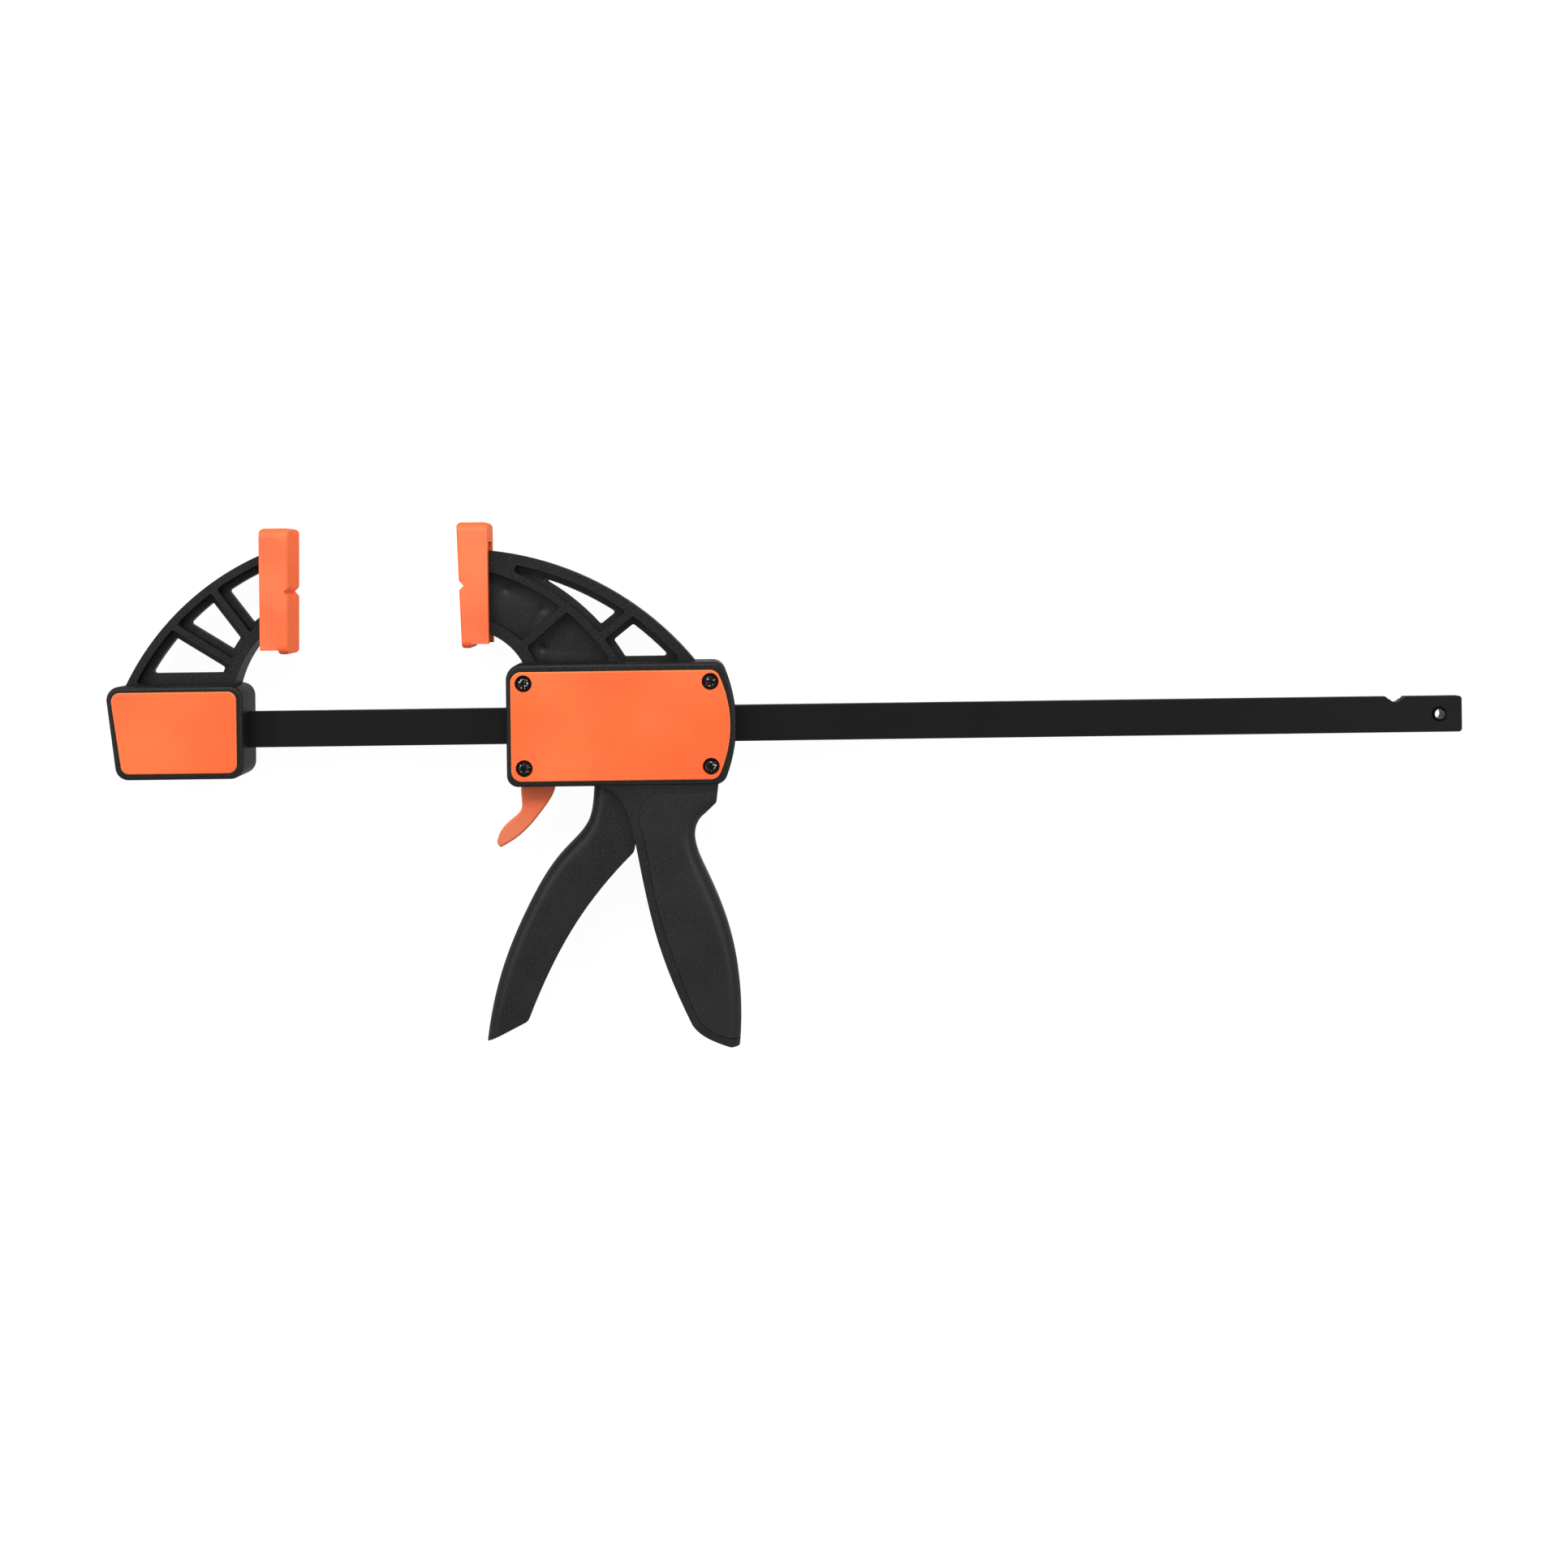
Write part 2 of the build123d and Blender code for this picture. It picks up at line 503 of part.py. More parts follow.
def build_pad(face_x, facing, toe_in, span, groove_y):
    """Soft cap of a jaw tip: clamping face through face_x, turned towards facing along X."""
    bottom, top = span
    middle = (top + bottom) / 2
    lean = (top - bottom) / 2 * tan(radians(toe_in))
    back = face_x - facing * PAD_DEPTH
    lip_back = face_x - facing * (PAD_LIP_DEPTH + lean)
    lip_bottom = bottom - PAD_LIP_DROP
    with BuildPart() as pad:
        with BuildSketch(MID):
            with BuildLine():
                Polyline((back, bottom), (back, top), (face_x + facing * lean, top),
                         (face_x - facing * lean, lip_bottom), (lip_back, lip_bottom), (lip_back, bottom),
                         close=True)
            make_face()
            fillet(vertices().group_by(Axis.Y)[-1], radius=PAD_CORNER)
            fillet(vertices().group_by(Axis.Y)[0], radius=PAD_LIP_CORNER)
        extrude(amount=PAD_HALF, both=True)
        # Rounded top, and rounded lower corners of the lip, seen along the bar.
        with BuildSketch(Plane.YZ.offset(face_x - PAD_REACH)):
            with Locations(((top + lip_bottom) / 2 - PAD_END_RADIUS, 0)):
                RectangleRounded(top - lip_bottom + 2 * PAD_END_RADIUS, 2 * PAD_HALF, PAD_END_RADIUS)
        extrude(amount=2 * PAD_REACH, mode=Mode.INTERSECT)
        with BuildSketch(Plane.YZ.offset(face_x - facing * (PAD_LIP_DEPTH + lean))):
            with Locations((lip_bottom, 0)):
                Rectangle(2 * PAD_END_RADIUS, 2 * PAD_HALF)
            with Locations((lip_bottom + PAD_HALF, 0)):
                RectangleRounded(2 * PAD_HALF, 2 * PAD_HALF, PAD_END_RADIUS, mode=Mode.SUBTRACT)
        extrude(amount=facing * PAD_REACH, mode=Mode.SUBTRACT)
        # Chamfered long edges of the clamping face and the groove along it, leaning with the face.
        rear = -facing
        along_face = Plane(origin=(face_x - facing * lean, lip_bottom, 0), x_dir=(0, 0, 1),
                           z_dir=(facing * sin(radians(toe_in)), cos(radians(toe_in)), 0))
        with BuildSketch(along_face.offset(-PAD_LIP_DROP)):
            with BuildLine():
                Polyline((-PAD_HALF, rear * PAD_REACH), (-PAD_HALF, rear * PAD_FACE_CHAMFER),
                         (-PAD_HALF + PAD_FACE_CHAMFER, 0), (-FACE_GROOVE_WIDTH / 2, 0),
                         (0, rear * FACE_GROOVE_DEPTH), (FACE_GROOVE_WIDTH / 2, 0),
                         (PAD_HALF - PAD_FACE_CHAMFER, 0), (PAD_HALF, rear * PAD_FACE_CHAMFER),
                         (PAD_HALF, rear * PAD_REACH), close=True)
            make_face()
        extrude(amount=2 * (top - lip_bottom), mode=Mode.INTERSECT)
        # Groove across the face, for round work.
        groove_x = face_x + facing * (groove_y - middle) * tan(radians(toe_in))
        with BuildSketch(MID):
            with BuildLine():
                Polyline((groove_x + facing * GROOVE_DEPTH, groove_y - GROOVE_WIDTH),
                         (groove_x + facing * GROOVE_DEPTH, groove_y + GROOVE_WIDTH),
                         (groove_x - facing * GROOVE_DEPTH, groove_y), close=True)
            make_face()
        extrude(amount=PAD_HALF, both=True, mode=Mode.SUBTRACT)
        # T-shaped slot, open downwards, for the plate on the arm's tip.
        far = face_x - facing * (TONGUE_INSET - TONGUE_GAP)
        near = face_x - facing * (TONGUE_INSET + TONGUE_THICKNESS + TONGUE_GAP)
        slot_top = TONGUE_TOP + TONGUE_GAP
        for start, stop, half in ((near, far, TONGUE_HALF), (back, near, ARM_HALF)):
            with BuildSketch(MID):
                with Locations(((start + stop) / 2, (bottom + slot_top) / 2)):
                    Rectangle(abs(stop - start), slot_top - bottom)
            extrude(amount=half + TONGUE_GAP, both=True, mode=Mode.SUBTRACT)
    return pad


fixed_pad = build_pad(0.0, 1, FIXED_TOE_IN, FIXED_PAD_SPAN, FIXED_GROOVE_Y)

# ---------------------------------------------------------------- sliding jaw
with BuildPart() as grip_blank:
    with BuildSketch(HEAD):
        add(grip_outline(0.0))
    extrude(amount=GRIP_HALF, both=True)
    palm = [(HEAD_X + x, y) for x, y in GRIP_BACK[3:4]]
    fillet(long_edges(grip_blank, palm, GRIP_HALF), radius=GRIP_PALM_RADIUS)

with BuildPart() as grip_core:
    with BuildSketch(HEAD):
        add(grip_outline(GRIP_BACK_SKIN))
    extrude(amount=GRIP_HALF - GRIP_BACK_SKIN, both=True)
    fillet(long_edges(grip_core, palm, GRIP_HALF - GRIP_BACK_SKIN), radius=GRIP_PALM_RADIUS - GRIP_BACK_SKIN)

with BuildPart() as palm_grip:
    add(grip_blank.part)
    with BuildSketch(HEAD):
        with BuildLine():
            Line((NECK_BACK[-1][0] + GRIP_HALF, PANEL_TOP_Y), PANEL_TOP_CORNER)
            Spline(PANEL_TOP_CORNER, PANEL_BEND, PANEL_FRONT[0], tangents=[(-1, 0), (0.1, -1)])
            Spline(*PANEL_FRONT)
            Spline(*PANEL_END)
            Line(PANEL_END[-1], (PANEL_END[-1][0], PANEL_TOP_Y))
            Line((PANEL_END[-1][0], PANEL_TOP_Y), (NECK_BACK[-1][0] + GRIP_HALF, PANEL_TOP_Y))
        make_face()
    extrude(amount=GRIP_HALF, both=True, mode=Mode.INTERSECT)
    add(grip_core.part, mode=Mode.SUBTRACT)

with BuildPart() as sliding_jaw:
    with BuildSketch(HEAD):
        arm_outline(MOVING_ARM_OUTER, MOVING_ARM_INNER, MOVING_ARM_TIP_X, HOUSING_BACK, CAVITY_TOP)
    extrude(amount=ARM_HALF, both=True)
    for side in (1, -1):
        with BuildSketch(HEAD.offset(side * ARM_HALF)):
            moving_outer_pockets(0.0, POCKET_CORNER, POCKET_CORNER, POCKET_FOOT)
        extrude(amount=-side * POCKET_DEPTH, mode=Mode.SUBTRACT)
        with BuildSketch(HEAD.offset(side * ARM_HALF)):
            moving_inner_pockets(POCKET_CORNER)
        extrude(amount=-side * POCKET_DEPTH, mode=Mode.SUBTRACT)
        # Shallow conical marks of the ejector pins.
        for x, y, radius in EJECTOR_MARKS:
            with BuildSketch(HEAD.offset(side * (ARM_HALF - POCKET_DEPTH))):
                with Locations((x, y)):
                    Circle(radius)
            depth = radius * tan(radians(EJECTOR_SLOPE)) * EJECTOR_FULLNESS
            extrude(amount=-side * depth, taper=90 - EJECTOR_SLOPE, mode=Mode.SUBTRACT)
    with BuildSketch(HEAD):
        moving_outer_pockets(WINDOW_LEDGE, WINDOW_CORNER, WINDOW_TIP, MOVING_WINDOW_FOOT)
    extrude(amount=ARM_HALF, both=True, mode=Mode.SUBTRACT)
    # Housing block with its cavity, open at the front side, and the seats of both plates.
    with BuildSketch(HEAD):
        add(housing_outline(0, 0, 0, 0, HOUSING_CORNER_TOP, HOUSING_CORNER_BOTTOM, HOUSING_CORNER_BACK))
    extrude(amount=SHELL_HALF, both=True)
    fillet(side_rims(sliding_jaw), radius=SHELL_EDGE)
    add(grip_blank.part)
    for side in (1, -1):
        with BuildSketch(HEAD.offset(side * PLATE_SEAT)):
            add(cover_outline(PLATE_GAP))
        extrude(amount=side * PLATE_THICKNESS, mode=Mode.SUBTRACT)
    with BuildSketch(HEAD.offset(-CAVITY_HALF)):
        with Locations(CAVITY_MIDDLE):
            RectangleRounded(CAVITY_BACK - CAVITY_FRONT, CAVITY_TOP - CAVITY_BOTTOM, CAVITY_CORNER)
    extrude(amount=CAVITY_HALF + PLATE_SEAT, mode=Mode.SUBTRACT)
    # Bosses for the screws and the trigger's pin, bar guide and seat of the brake plates.
    with BuildSketch(HEAD.offset(-CAVITY_HALF)):
        with Locations(SCREW_SPOTS):
            Circle(SCREW_BOSS_RADIUS)
    extrude(amount=CAVITY_HALF + COVER_BOSS_END - COVER_BOSS_GAP)
    with BuildSketch(HEAD.offset(-CAVITY_HALF)):
        with Locations(TRIGGER_PIVOT):
            Circle(PIN_BOSS_RADIUS)
    extrude(amount=CAVITY_HALF - TRIGGER_HALF - SIDE_CLEARANCE)
    with BuildSketch(HEAD.offset(-CAVITY_HALF)):
        with Locations((GUIDE_RIB_X + GUIDE_RIB_THICKNESS / 2, (CAVITY_TOP + CAVITY_BOTTOM) / 2)):
            Rectangle(GUIDE_RIB_THICKNESS, CAVITY_TOP - CAVITY_BOTTOM)
        for side in (-1, 1):
            lug_mid = BRAKE_ANCHOR[0] + side * (BRAKE_PLATE_THICKNESS + BRAKE_LUG_GAP + BRAKE_LUG_WIDTH / 2)
            with Locations((lug_mid, CAVITY_TOP - BRAKE_LUG_DEPTH / 2)):
                Rectangle(BRAKE_LUG_WIDTH, BRAKE_LUG_DEPTH)
    extrude(amount=2 * CAVITY_HALF)
    # Passage for the bar through both end walls and the guide rib.
    with BuildSketch(Plane.YZ.offset(HEAD_X - BAR_THICKNESS)):
        Rectangle(BAR_HEIGHT + 2 * BAR_CLEARANCE, BAR_THICKNESS + 2 * BAR_CLEARANCE)
    extrude(amount=HOUSING_BACK + HOUSING_BULGE + 2 * BAR_THICKNESS, mode=Mode.SUBTRACT)
    with BuildSketch(HEAD.offset(-PLATE_SEAT + BACK_WALL_LEFT)):
        with Locations(TRIGGER_PIVOT):
            Circle(TRIGGER_PIN_RADIUS)
    extrude(amount=SHELL_HALF, mode=Mode.SUBTRACT)
    with BuildSketch(HEAD.offset(COVER_BOSS_END)):
        with Locations(SCREW_SPOTS):
            Circle(SCREW_SHANK_RADIUS)
    extrude(amount=-SCREW_LENGTH, mode=Mode.SUBTRACT)
    with BuildSketch(HEAD.offset(POCKET_FLOOR)):
        with Locations(SCREW_SPOTS):
            Circle(SCREW_POCKET_RADIUS)
    extrude(amount=SCREW_POCKET_DEPTH, mode=Mode.SUBTRACT)
    # Ways out at the bottom for the trigger and the release trigger.
    for start, stop, half in ((TRIGGER_WAY[0], TRIGGER_WAY[1], GRIP_SLOT_HALF),
                              (RELEASE_WAY[0], RELEASE_WAY[1], RELEASE_HALF + SIDE_CLEARANCE)):
        with BuildSketch(HEAD):
            with Locations(((start + stop) / 2, (CAVITY_BOTTOM + HOUSING_BOTTOM) / 2)):
                Rectangle(stop - start, CAVITY_BOTTOM - HOUSING_BOTTOM + 2 * SIDE_CLEARANCE)
        extrude(amount=half, both=True, mode=Mode.SUBTRACT)
    # Hollow of the grip that takes the trigger's back when it is squeezed.
    grip_floor = GRIP_CHANNEL[0][1]
    with BuildSketch(HEAD):
        add(grip_outline(GRIP_BACK_SKIN + GRIP_WALL))
        with Locations((HOUSING_BACK / 2, (CAVITY_BOTTOM + grip_floor) / 2)):
            Rectangle(2 * HOUSING_BACK, CAVITY_BOTTOM - grip_floor, mode=Mode.INTERSECT)
        with BuildLine():
            Polyline((TRIGGER_WAY[0], CAVITY_BOTTOM), (TRIGGER_WAY[0], grip_floor), *GRIP_CHANNEL,
                     (TRIGGER_WAY[1], CAVITY_BOTTOM), close=True)
        make_face()
    extrude(amount=GRIP_SLOT_HALF, both=True, mode=Mode.SUBTRACT)
    add(palm_grip.part, mode=Mode.SUBTRACT)
    # Plate across the arm's tip that the pad slides over.
    with BuildSketch(Plane.YZ.offset(MOVING_FACE_X + TONGUE_INSET)):
        with Locations(((TONGUE_BOTTOM + TONGUE_TOP) / 2, 0)):
            Rectangle(TONGUE_TOP - TONGUE_BOTTOM, 2 * TONGUE_HALF)
    extrude(amount=TONGUE_THICKNESS)

moving_pad = build_pad(MOVING_FACE_X, -1, MOVING_TOE_IN, MOVING_PAD_SPAN, MOVING_GROOVE_Y)

# Side plates. The front one closes the cavity and holds the trigger's pin.
with BuildPart() as front_cover:
    with BuildSketch(HEAD.offset(PLATE_SEAT)):
        add(cover_outline(0))
    extrude(amount=PLATE_THICKNESS)
    fillet(front_cover.faces().sort_by(Axis.Z)[-1].edges(), radius=PLATE_EDGE)
    with BuildSketch(HEAD.offset(COVER_BOSS_END)):
        with Locations(SCREW_SPOTS):
            Circle(SCREW_POCKET_RADIUS + COVER_BOSS_WALL)
        with Locations(CAVITY_MIDDLE):
            RectangleRounded(CAVITY_BACK - CAVITY_FRONT - 2 * PLATE_GAP,
                             CAVITY_TOP - CAVITY_BOTTOM - 2 * PLATE_GAP, CAVITY_CORNER, mode=Mode.INTERSECT)
        with Locations(TRIGGER_PIVOT):
            Circle(PIN_BOSS_RADIUS)
    extrude(amount=PLATE_SEAT - COVER_BOSS_END)
    with BuildSketch(HEAD.offset(POCKET_FLOOR)):
        with Locations(SCREW_SPOTS):
            Circle(SCREW_POCKET_RADIUS)
    extrude(amount=PLATE_THICKNESS + SCREW_POCKET_DEPTH, mode=Mode.SUBTRACT)
    with BuildSketch(HEAD.offset(COVER_BOSS_END)):
        with Locations(SCREW_SPOTS):
            Circle(SCREW_SHANK_RADIUS + PLATE_GAP)
        with Locations(TRIGGER_PIVOT):
            Circle(TRIGGER_PIN_RADIUS)
    extrude(amount=PLATE_SEAT - COVER_BOSS_END, mode=Mode.SUBTRACT)

with BuildPart() as back_cover:
    with BuildSketch(HEAD.offset(-PLATE_HALF)):
        add(cover_outline(0))
    extrude(amount=PLATE_THICKNESS)
    fillet(back_cover.faces().sort_by(Axis.Z)[0].edges(), radius=PLATE_EDGE)

with BuildPart() as cover_screws:
    with Locations([(HEAD_X + x, y, POCKET_FLOOR) for x, y in SCREW_SPOTS]):
        Cylinder(SCREW_FLANGE_RADIUS, SCREW_FLANGE_HEIGHT, align=(Align.CENTER, Align.CENTER, Align.MIN))
        Cylinder(SCREW_DOME_RADIUS, SCREW_FLANGE_HEIGHT + SCREW_DOME_HEIGHT,
                 align=(Align.CENTER, Align.CENTER, Align.MIN))
    domes = cover_screws.edges().filter_by(GeomType.CIRCLE).group_by(Axis.Z)[-1]
    fillet(domes, radius=SCREW_DOME_HEIGHT / 2)
    with BuildSketch(Plane.XY.offset(POCKET_FLOOR)):
        with Locations([(HEAD_X + x, y) for x, y in SCREW_SPOTS]):
            Circle(SCREW_SHANK_RADIUS - PIN_FIT)
    extrude(amount=-SCREW_LENGTH + SCREW_TIP_GAP)
    top = POCKET_FLOOR + SCREW_FLANGE_HEIGHT + SCREW_DOME_HEIGHT
    with BuildSketch(Plane.XY.offset(top)):
        with Locations([(HEAD_X + x, y) for x, y in SCREW_SPOTS]):
            Rectangle(CROSS_SLOT_SPAN, CROSS_SLOT_WIDTH)
            Rectangle(CROSS_SLOT_WIDTH, CROSS_SLOT_SPAN)
    extrude(amount=-CROSS_SLOT_DEPTH, taper=CROSS_SLOT_TAPER, mode=Mode.SUBTRACT)

with BuildPart() as trigger_pin:
    with BuildSketch(HEAD.offset(-PLATE_SEAT + BACK_WALL_LEFT + PIN_FIT)):
        with Locations(TRIGGER_PIVOT):
            Circle(TRIGGER_PIN_RADIUS - PIN_FIT)
    extrude(amount=2 * PLATE_SEAT - BACK_WALL_LEFT - 2 * PIN_FIT)
    chamfer(edges().filter_by(GeomType.CIRCLE), length=BAR_EDGE_CHAMFER)

# ---------------------------------------------------------------- trigger
cheek_front = (TRIGGER_PIVOT[0] - CHEEK_WIDTH / 2, TRIGGER_PIVOT[1])
cheek_back = (TRIGGER_PIVOT[0] + CHEEK_WIDTH / 2, TRIGGER_PIVOT[1])
with BuildPart() as trigger_lever:
    with BuildSketch(HEAD):
        with BuildLine():
            Line(cheek_front, TRIGGER_FRONT[0])
            Spline(*TRIGGER_FRONT)
            Line(TRIGGER_FRONT[-1], TRIGGER_REAR[0])
            Spline(*TRIGGER_REAR)
            Spline(*TRIGGER_HEEL)
            Polyline(TRIGGER_HEEL[-1], NOSE, cheek_back, cheek_front)
        make_face()
        for corner, radius in ((TRIGGER_REAR[0], TRIGGER_END_RADIUS), (TRIGGER_REAR[-1], TRIGGER_HEEL_RADIUS)):
            fillet(vertices().sort_by_distance(Vertex(*corner, 0))[0], radius=radius)
        with Locations(TRIGGER_PIVOT):
            Circle(TRIGGER_HUB_RADIUS)
        with Locations(NOSE):
            Circle(NOSE_RADIUS)
    extrude(amount=TRIGGER_HALF, both=True)
    front = [(HEAD_X + x, y) for x, y in TRIGGER_FRONT[4:5]]
    fillet(long_edges(trigger_lever, front, TRIGGER_HALF), radius=TRIGGER_FRONT_RADIUS)
    # Fork over the bar and bore for the pin.
    with BuildSketch(HEAD):
        with Locations(TRIGGER_PIVOT):
            Circle(FORK_REACH)
    extrude(amount=FORK_HALF_GAP, both=True, mode=Mode.SUBTRACT)
    with BuildSketch(HEAD):
        with Locations(TRIGGER_PIVOT):
            Circle(TRIGGER_PIN_RADIUS + TRIGGER_PIN_FIT)
    extrude(amount=TRIGGER_HALF, both=True, mode=Mode.SUBTRACT)

# ---------------------------------------------------------------- drive plates and spring
drive_plates = []
for number in range(2):
    with BuildPart() as plate:
        with BuildSketch(Plane.YZ.offset(HEAD_X + DRIVE_START + number * JAM_PLATE_THICKNESS)):
            RectangleRounded(2 * JAM_PLATE_HALF_HEIGHT, 2 * JAM_PLATE_HALF_WIDTH, JAM_PLATE_CORNER)
            Rectangle(BAR_HEIGHT + 2 * JAM_SLOT_GAP, BAR_THICKNESS + 2 * JAM_SLOT_GAP, mode=Mode.SUBTRACT)
        extrude(amount=JAM_PLATE_THICKNESS)
    drive_plates.append(plate)
front_drive_plate, rear_drive_plate = drive_plates


def coil(start, length, radius, wire, turns):
    """Compression spring along X, its wire swept along a helix."""
    with BuildPart() as spring:
        with BuildLine() as path:
            Helix((length - 2 * wire) / turns, length - 2 * wire, radius,
                  center=(start[0] + wire, start[1], 0), direction=(1, 0, 0))
        with BuildSketch(Plane(origin=path.line @ 0, z_dir=path.line % 0)):
            Circle(wire)
        sweep()
    return spring


spring_start = HEAD_X + DRIVE_START + 2 * JAM_PLATE_THICKNESS + SPRING_SEAT_GAP
drive_spring = coil((spring_start, 0), HEAD_X + CAVITY_BACK - SPRING_SEAT_GAP - spring_start,
                    DRIVE_SPRING_RADIUS, DRIVE_SPRING_WIRE, DRIVE_SPRING_TURNS)

# ---------------------------------------------------------------- brake plates and release trigger
down = (-sin(radians(BRAKE_TILT)), -cos(radians(BRAKE_TILT)), 0)
across = (cos(radians(BRAKE_TILT)), -sin(radians(BRAKE_TILT)), 0)
BRAKE = Plane(origin=(HEAD_X + BRAKE_ANCHOR[0], BRAKE_ANCHOR[1], 0), x_dir=down, z_dir=across)
slot_middle = BRAKE_ANCHOR[1] / cos(radians(BRAKE_TILT))
lean_of_stack = 2 * BRAKE_PLATE_THICKNESS * sin(radians(BRAKE_TILT))
slot_height = (BAR_HEIGHT + 2 * BAR_CLEARANCE) / cos(radians(BRAKE_TILT)) + lean_of_stack
brake_plates = []
for number in range(2):
    with BuildPart() as plate:
        with BuildSketch(BRAKE.offset((number - 1) * BRAKE_PLATE_THICKNESS)):
            with Locations(((BRAKE_SHOULDER - BRAKE_TOP) / 2, 0)):
                RectangleRounded(BRAKE_SHOULDER + BRAKE_TOP, 2 * JAM_PLATE_HALF_WIDTH, JAM_PLATE_CORNER)
            with Locations(((BRAKE_SHOULDER - BRAKE_TAIL_OVERLAP + BRAKE_END) / 2, 0)):
                RectangleRounded(BRAKE_END - BRAKE_SHOULDER + BRAKE_TAIL_OVERLAP, 2 * BRAKE_TAIL_HALF,
                                 BRAKE_TAIL_CORNER)
            with Locations((slot_middle, 0)):
                Rectangle(slot_height, BAR_THICKNESS + 2 * JAM_SLOT_GAP, mode=Mode.SUBTRACT)
        extrude(amount=BRAKE_PLATE_THICKNESS)
    brake_plates.append(plate)
front_brake_plate, rear_brake_plate = brake_plates

with BuildPart() as release_trigger:
    with BuildSketch(HEAD):
        with BuildLine():
            Spline(*RELEASE_FRONT)
            Spline(*RELEASE_TIP)
            Spline(*RELEASE_REAR)
            Line(RELEASE_REAR[-1], RELEASE_FRONT[0])
        make_face()
    extrude(amount=RELEASE_HALF, both=True)
    chamfer(release_trigger.faces().filter_by(Plane.XY).edges(), length=RELEASE_EDGE)
    with BuildSketch(BRAKE.offset(-BRAKE_PLATE_THICKNESS - RELEASE_FIT)):
        with Locations((BRAKE_END / 2 + RELEASE_FIT, 0)):
            Rectangle(BRAKE_END, 2 * BRAKE_TAIL_HALF + 2 * RELEASE_FIT)
    extrude(amount=2 * BRAKE_PLATE_THICKNESS + 2 * RELEASE_FIT, mode=Mode.SUBTRACT)

plate_face_x = (BRAKE_ANCHOR[0] - (BRAKE_ANCHOR[1] - BRAKE_SPRING_Y) * tan(radians(BRAKE_TILT))
                + BRAKE_PLATE_THICKNESS / cos(radians(BRAKE_TILT)))
lean_of_coil = BRAKE_SPRING_RADIUS * sin(radians(BRAKE_TILT))
brake_spring_start = HEAD_X + plate_face_x + lean_of_coil + SPRING_SEAT_GAP
brake_spring_end = HEAD_X + GUIDE_RIB_X - SPRING_SEAT_GAP
brake_spring = coil((brake_spring_start, BRAKE_SPRING_Y), brake_spring_end - brake_spring_start,
                    BRAKE_SPRING_RADIUS, BRAKE_SPRING_WIRE, BRAKE_SPRING_TURNS)

# ---------------------------------------------------------------- writing the pieces
pieces = {
    "bar": bar,
    "fixed_jaw": fixed_jaw,
    "fixed_jaw_front_inlay": fixed_jaw_front_inlay,
    "fixed_jaw_back_inlay": fixed_jaw_back_inlay,
    "fixed_pad": fixed_pad,
    "fixed_jaw_pin": fixed_jaw_pin,
    "fixed_jaw_dowel": fixed_jaw_dowel,
    "stop_pin": stop_pin,
    "sliding_jaw": sliding_jaw,
    "palm_grip": palm_grip,
    "front_cover": front_cover,
    "back_cover": back_cover,
    "cover_screws": cover_screws,
    "moving_pad": moving_pad,
    "trigger_pin": trigger_pin,
    "trigger_lever": trigger_lever,
    "front_drive_plate": front_drive_plate,
    "rear_drive_plate": rear_drive_plate,
    "drive_spring": drive_spring,
    "front_brake_plate": front_brake_plate,
    "rear_brake_plate": rear_brake_plate,
    "brake_spring": brake_spring,
    "release_trigger": release_trigger,
}
boxes = [piece.part.bounding_box() for piece in pieces.values()]
base = Vector(
    (min(box.min.X for box in boxes) + max(box.max.X for box in boxes)) / 2,
    (min(box.min.Y for box in boxes) + max(box.max.Y for box in boxes)) / 2,
    min(box.min.Z for box in boxes),
)
print("frame origin in the working frame:", base)
os.makedirs("parts", exist_ok=True)
for name, piece in pieces.items():
    piece.part = piece.part.moved(Location(-base))
    piece.part.label = name
    export_step(piece.part, f"parts/{name}.step")
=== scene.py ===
"""Looks of the quick release bar clamp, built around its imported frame."""

import math

import bmesh
import bpy
import numpy as np
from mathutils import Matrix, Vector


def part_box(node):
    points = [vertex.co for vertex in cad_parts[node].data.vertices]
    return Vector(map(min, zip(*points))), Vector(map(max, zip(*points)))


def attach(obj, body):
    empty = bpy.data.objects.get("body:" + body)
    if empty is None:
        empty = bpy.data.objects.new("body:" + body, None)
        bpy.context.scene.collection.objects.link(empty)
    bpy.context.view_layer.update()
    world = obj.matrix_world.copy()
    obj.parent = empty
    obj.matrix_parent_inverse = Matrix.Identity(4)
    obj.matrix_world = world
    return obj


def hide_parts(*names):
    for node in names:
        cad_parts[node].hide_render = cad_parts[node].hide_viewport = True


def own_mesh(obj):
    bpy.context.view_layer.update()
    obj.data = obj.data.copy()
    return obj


bl_info = {
    "name": "Quick release bar clamp",
    "version": (1, 0, 0),
    "blender": (4, 5, 0),
    "location": "View3D > Sidebar > Clamp",
    "description": "Dresses a one-handed bar clamp: mouldings, pads, pins, screws, springs and stage",
    "category": "Object",
}

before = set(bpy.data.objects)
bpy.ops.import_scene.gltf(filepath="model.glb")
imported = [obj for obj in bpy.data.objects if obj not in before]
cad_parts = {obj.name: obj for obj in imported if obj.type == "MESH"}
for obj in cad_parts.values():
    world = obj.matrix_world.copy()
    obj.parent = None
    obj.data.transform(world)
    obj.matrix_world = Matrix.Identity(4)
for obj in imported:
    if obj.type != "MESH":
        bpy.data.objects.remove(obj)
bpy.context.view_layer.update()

MM = 0.001
# Socket places of a colour mix: its factor, its two colours and its result.
MIX_FACTOR, MIX_A, MIX_B, MIX_RESULT = 0, 6, 7, 2
# The clamp lies on its side: the middle of its width above the floor.
MIDDLE_Z = 17.0 * MM
# How far from the middle the side plates' seats begin, and where the notches cross the pads' faces.
SEAT_HALF = 14.9 * MM
NOTCH_Y = {"fixed_pad": 102.9 * MM, "moving_pad": 105.0 * MM}
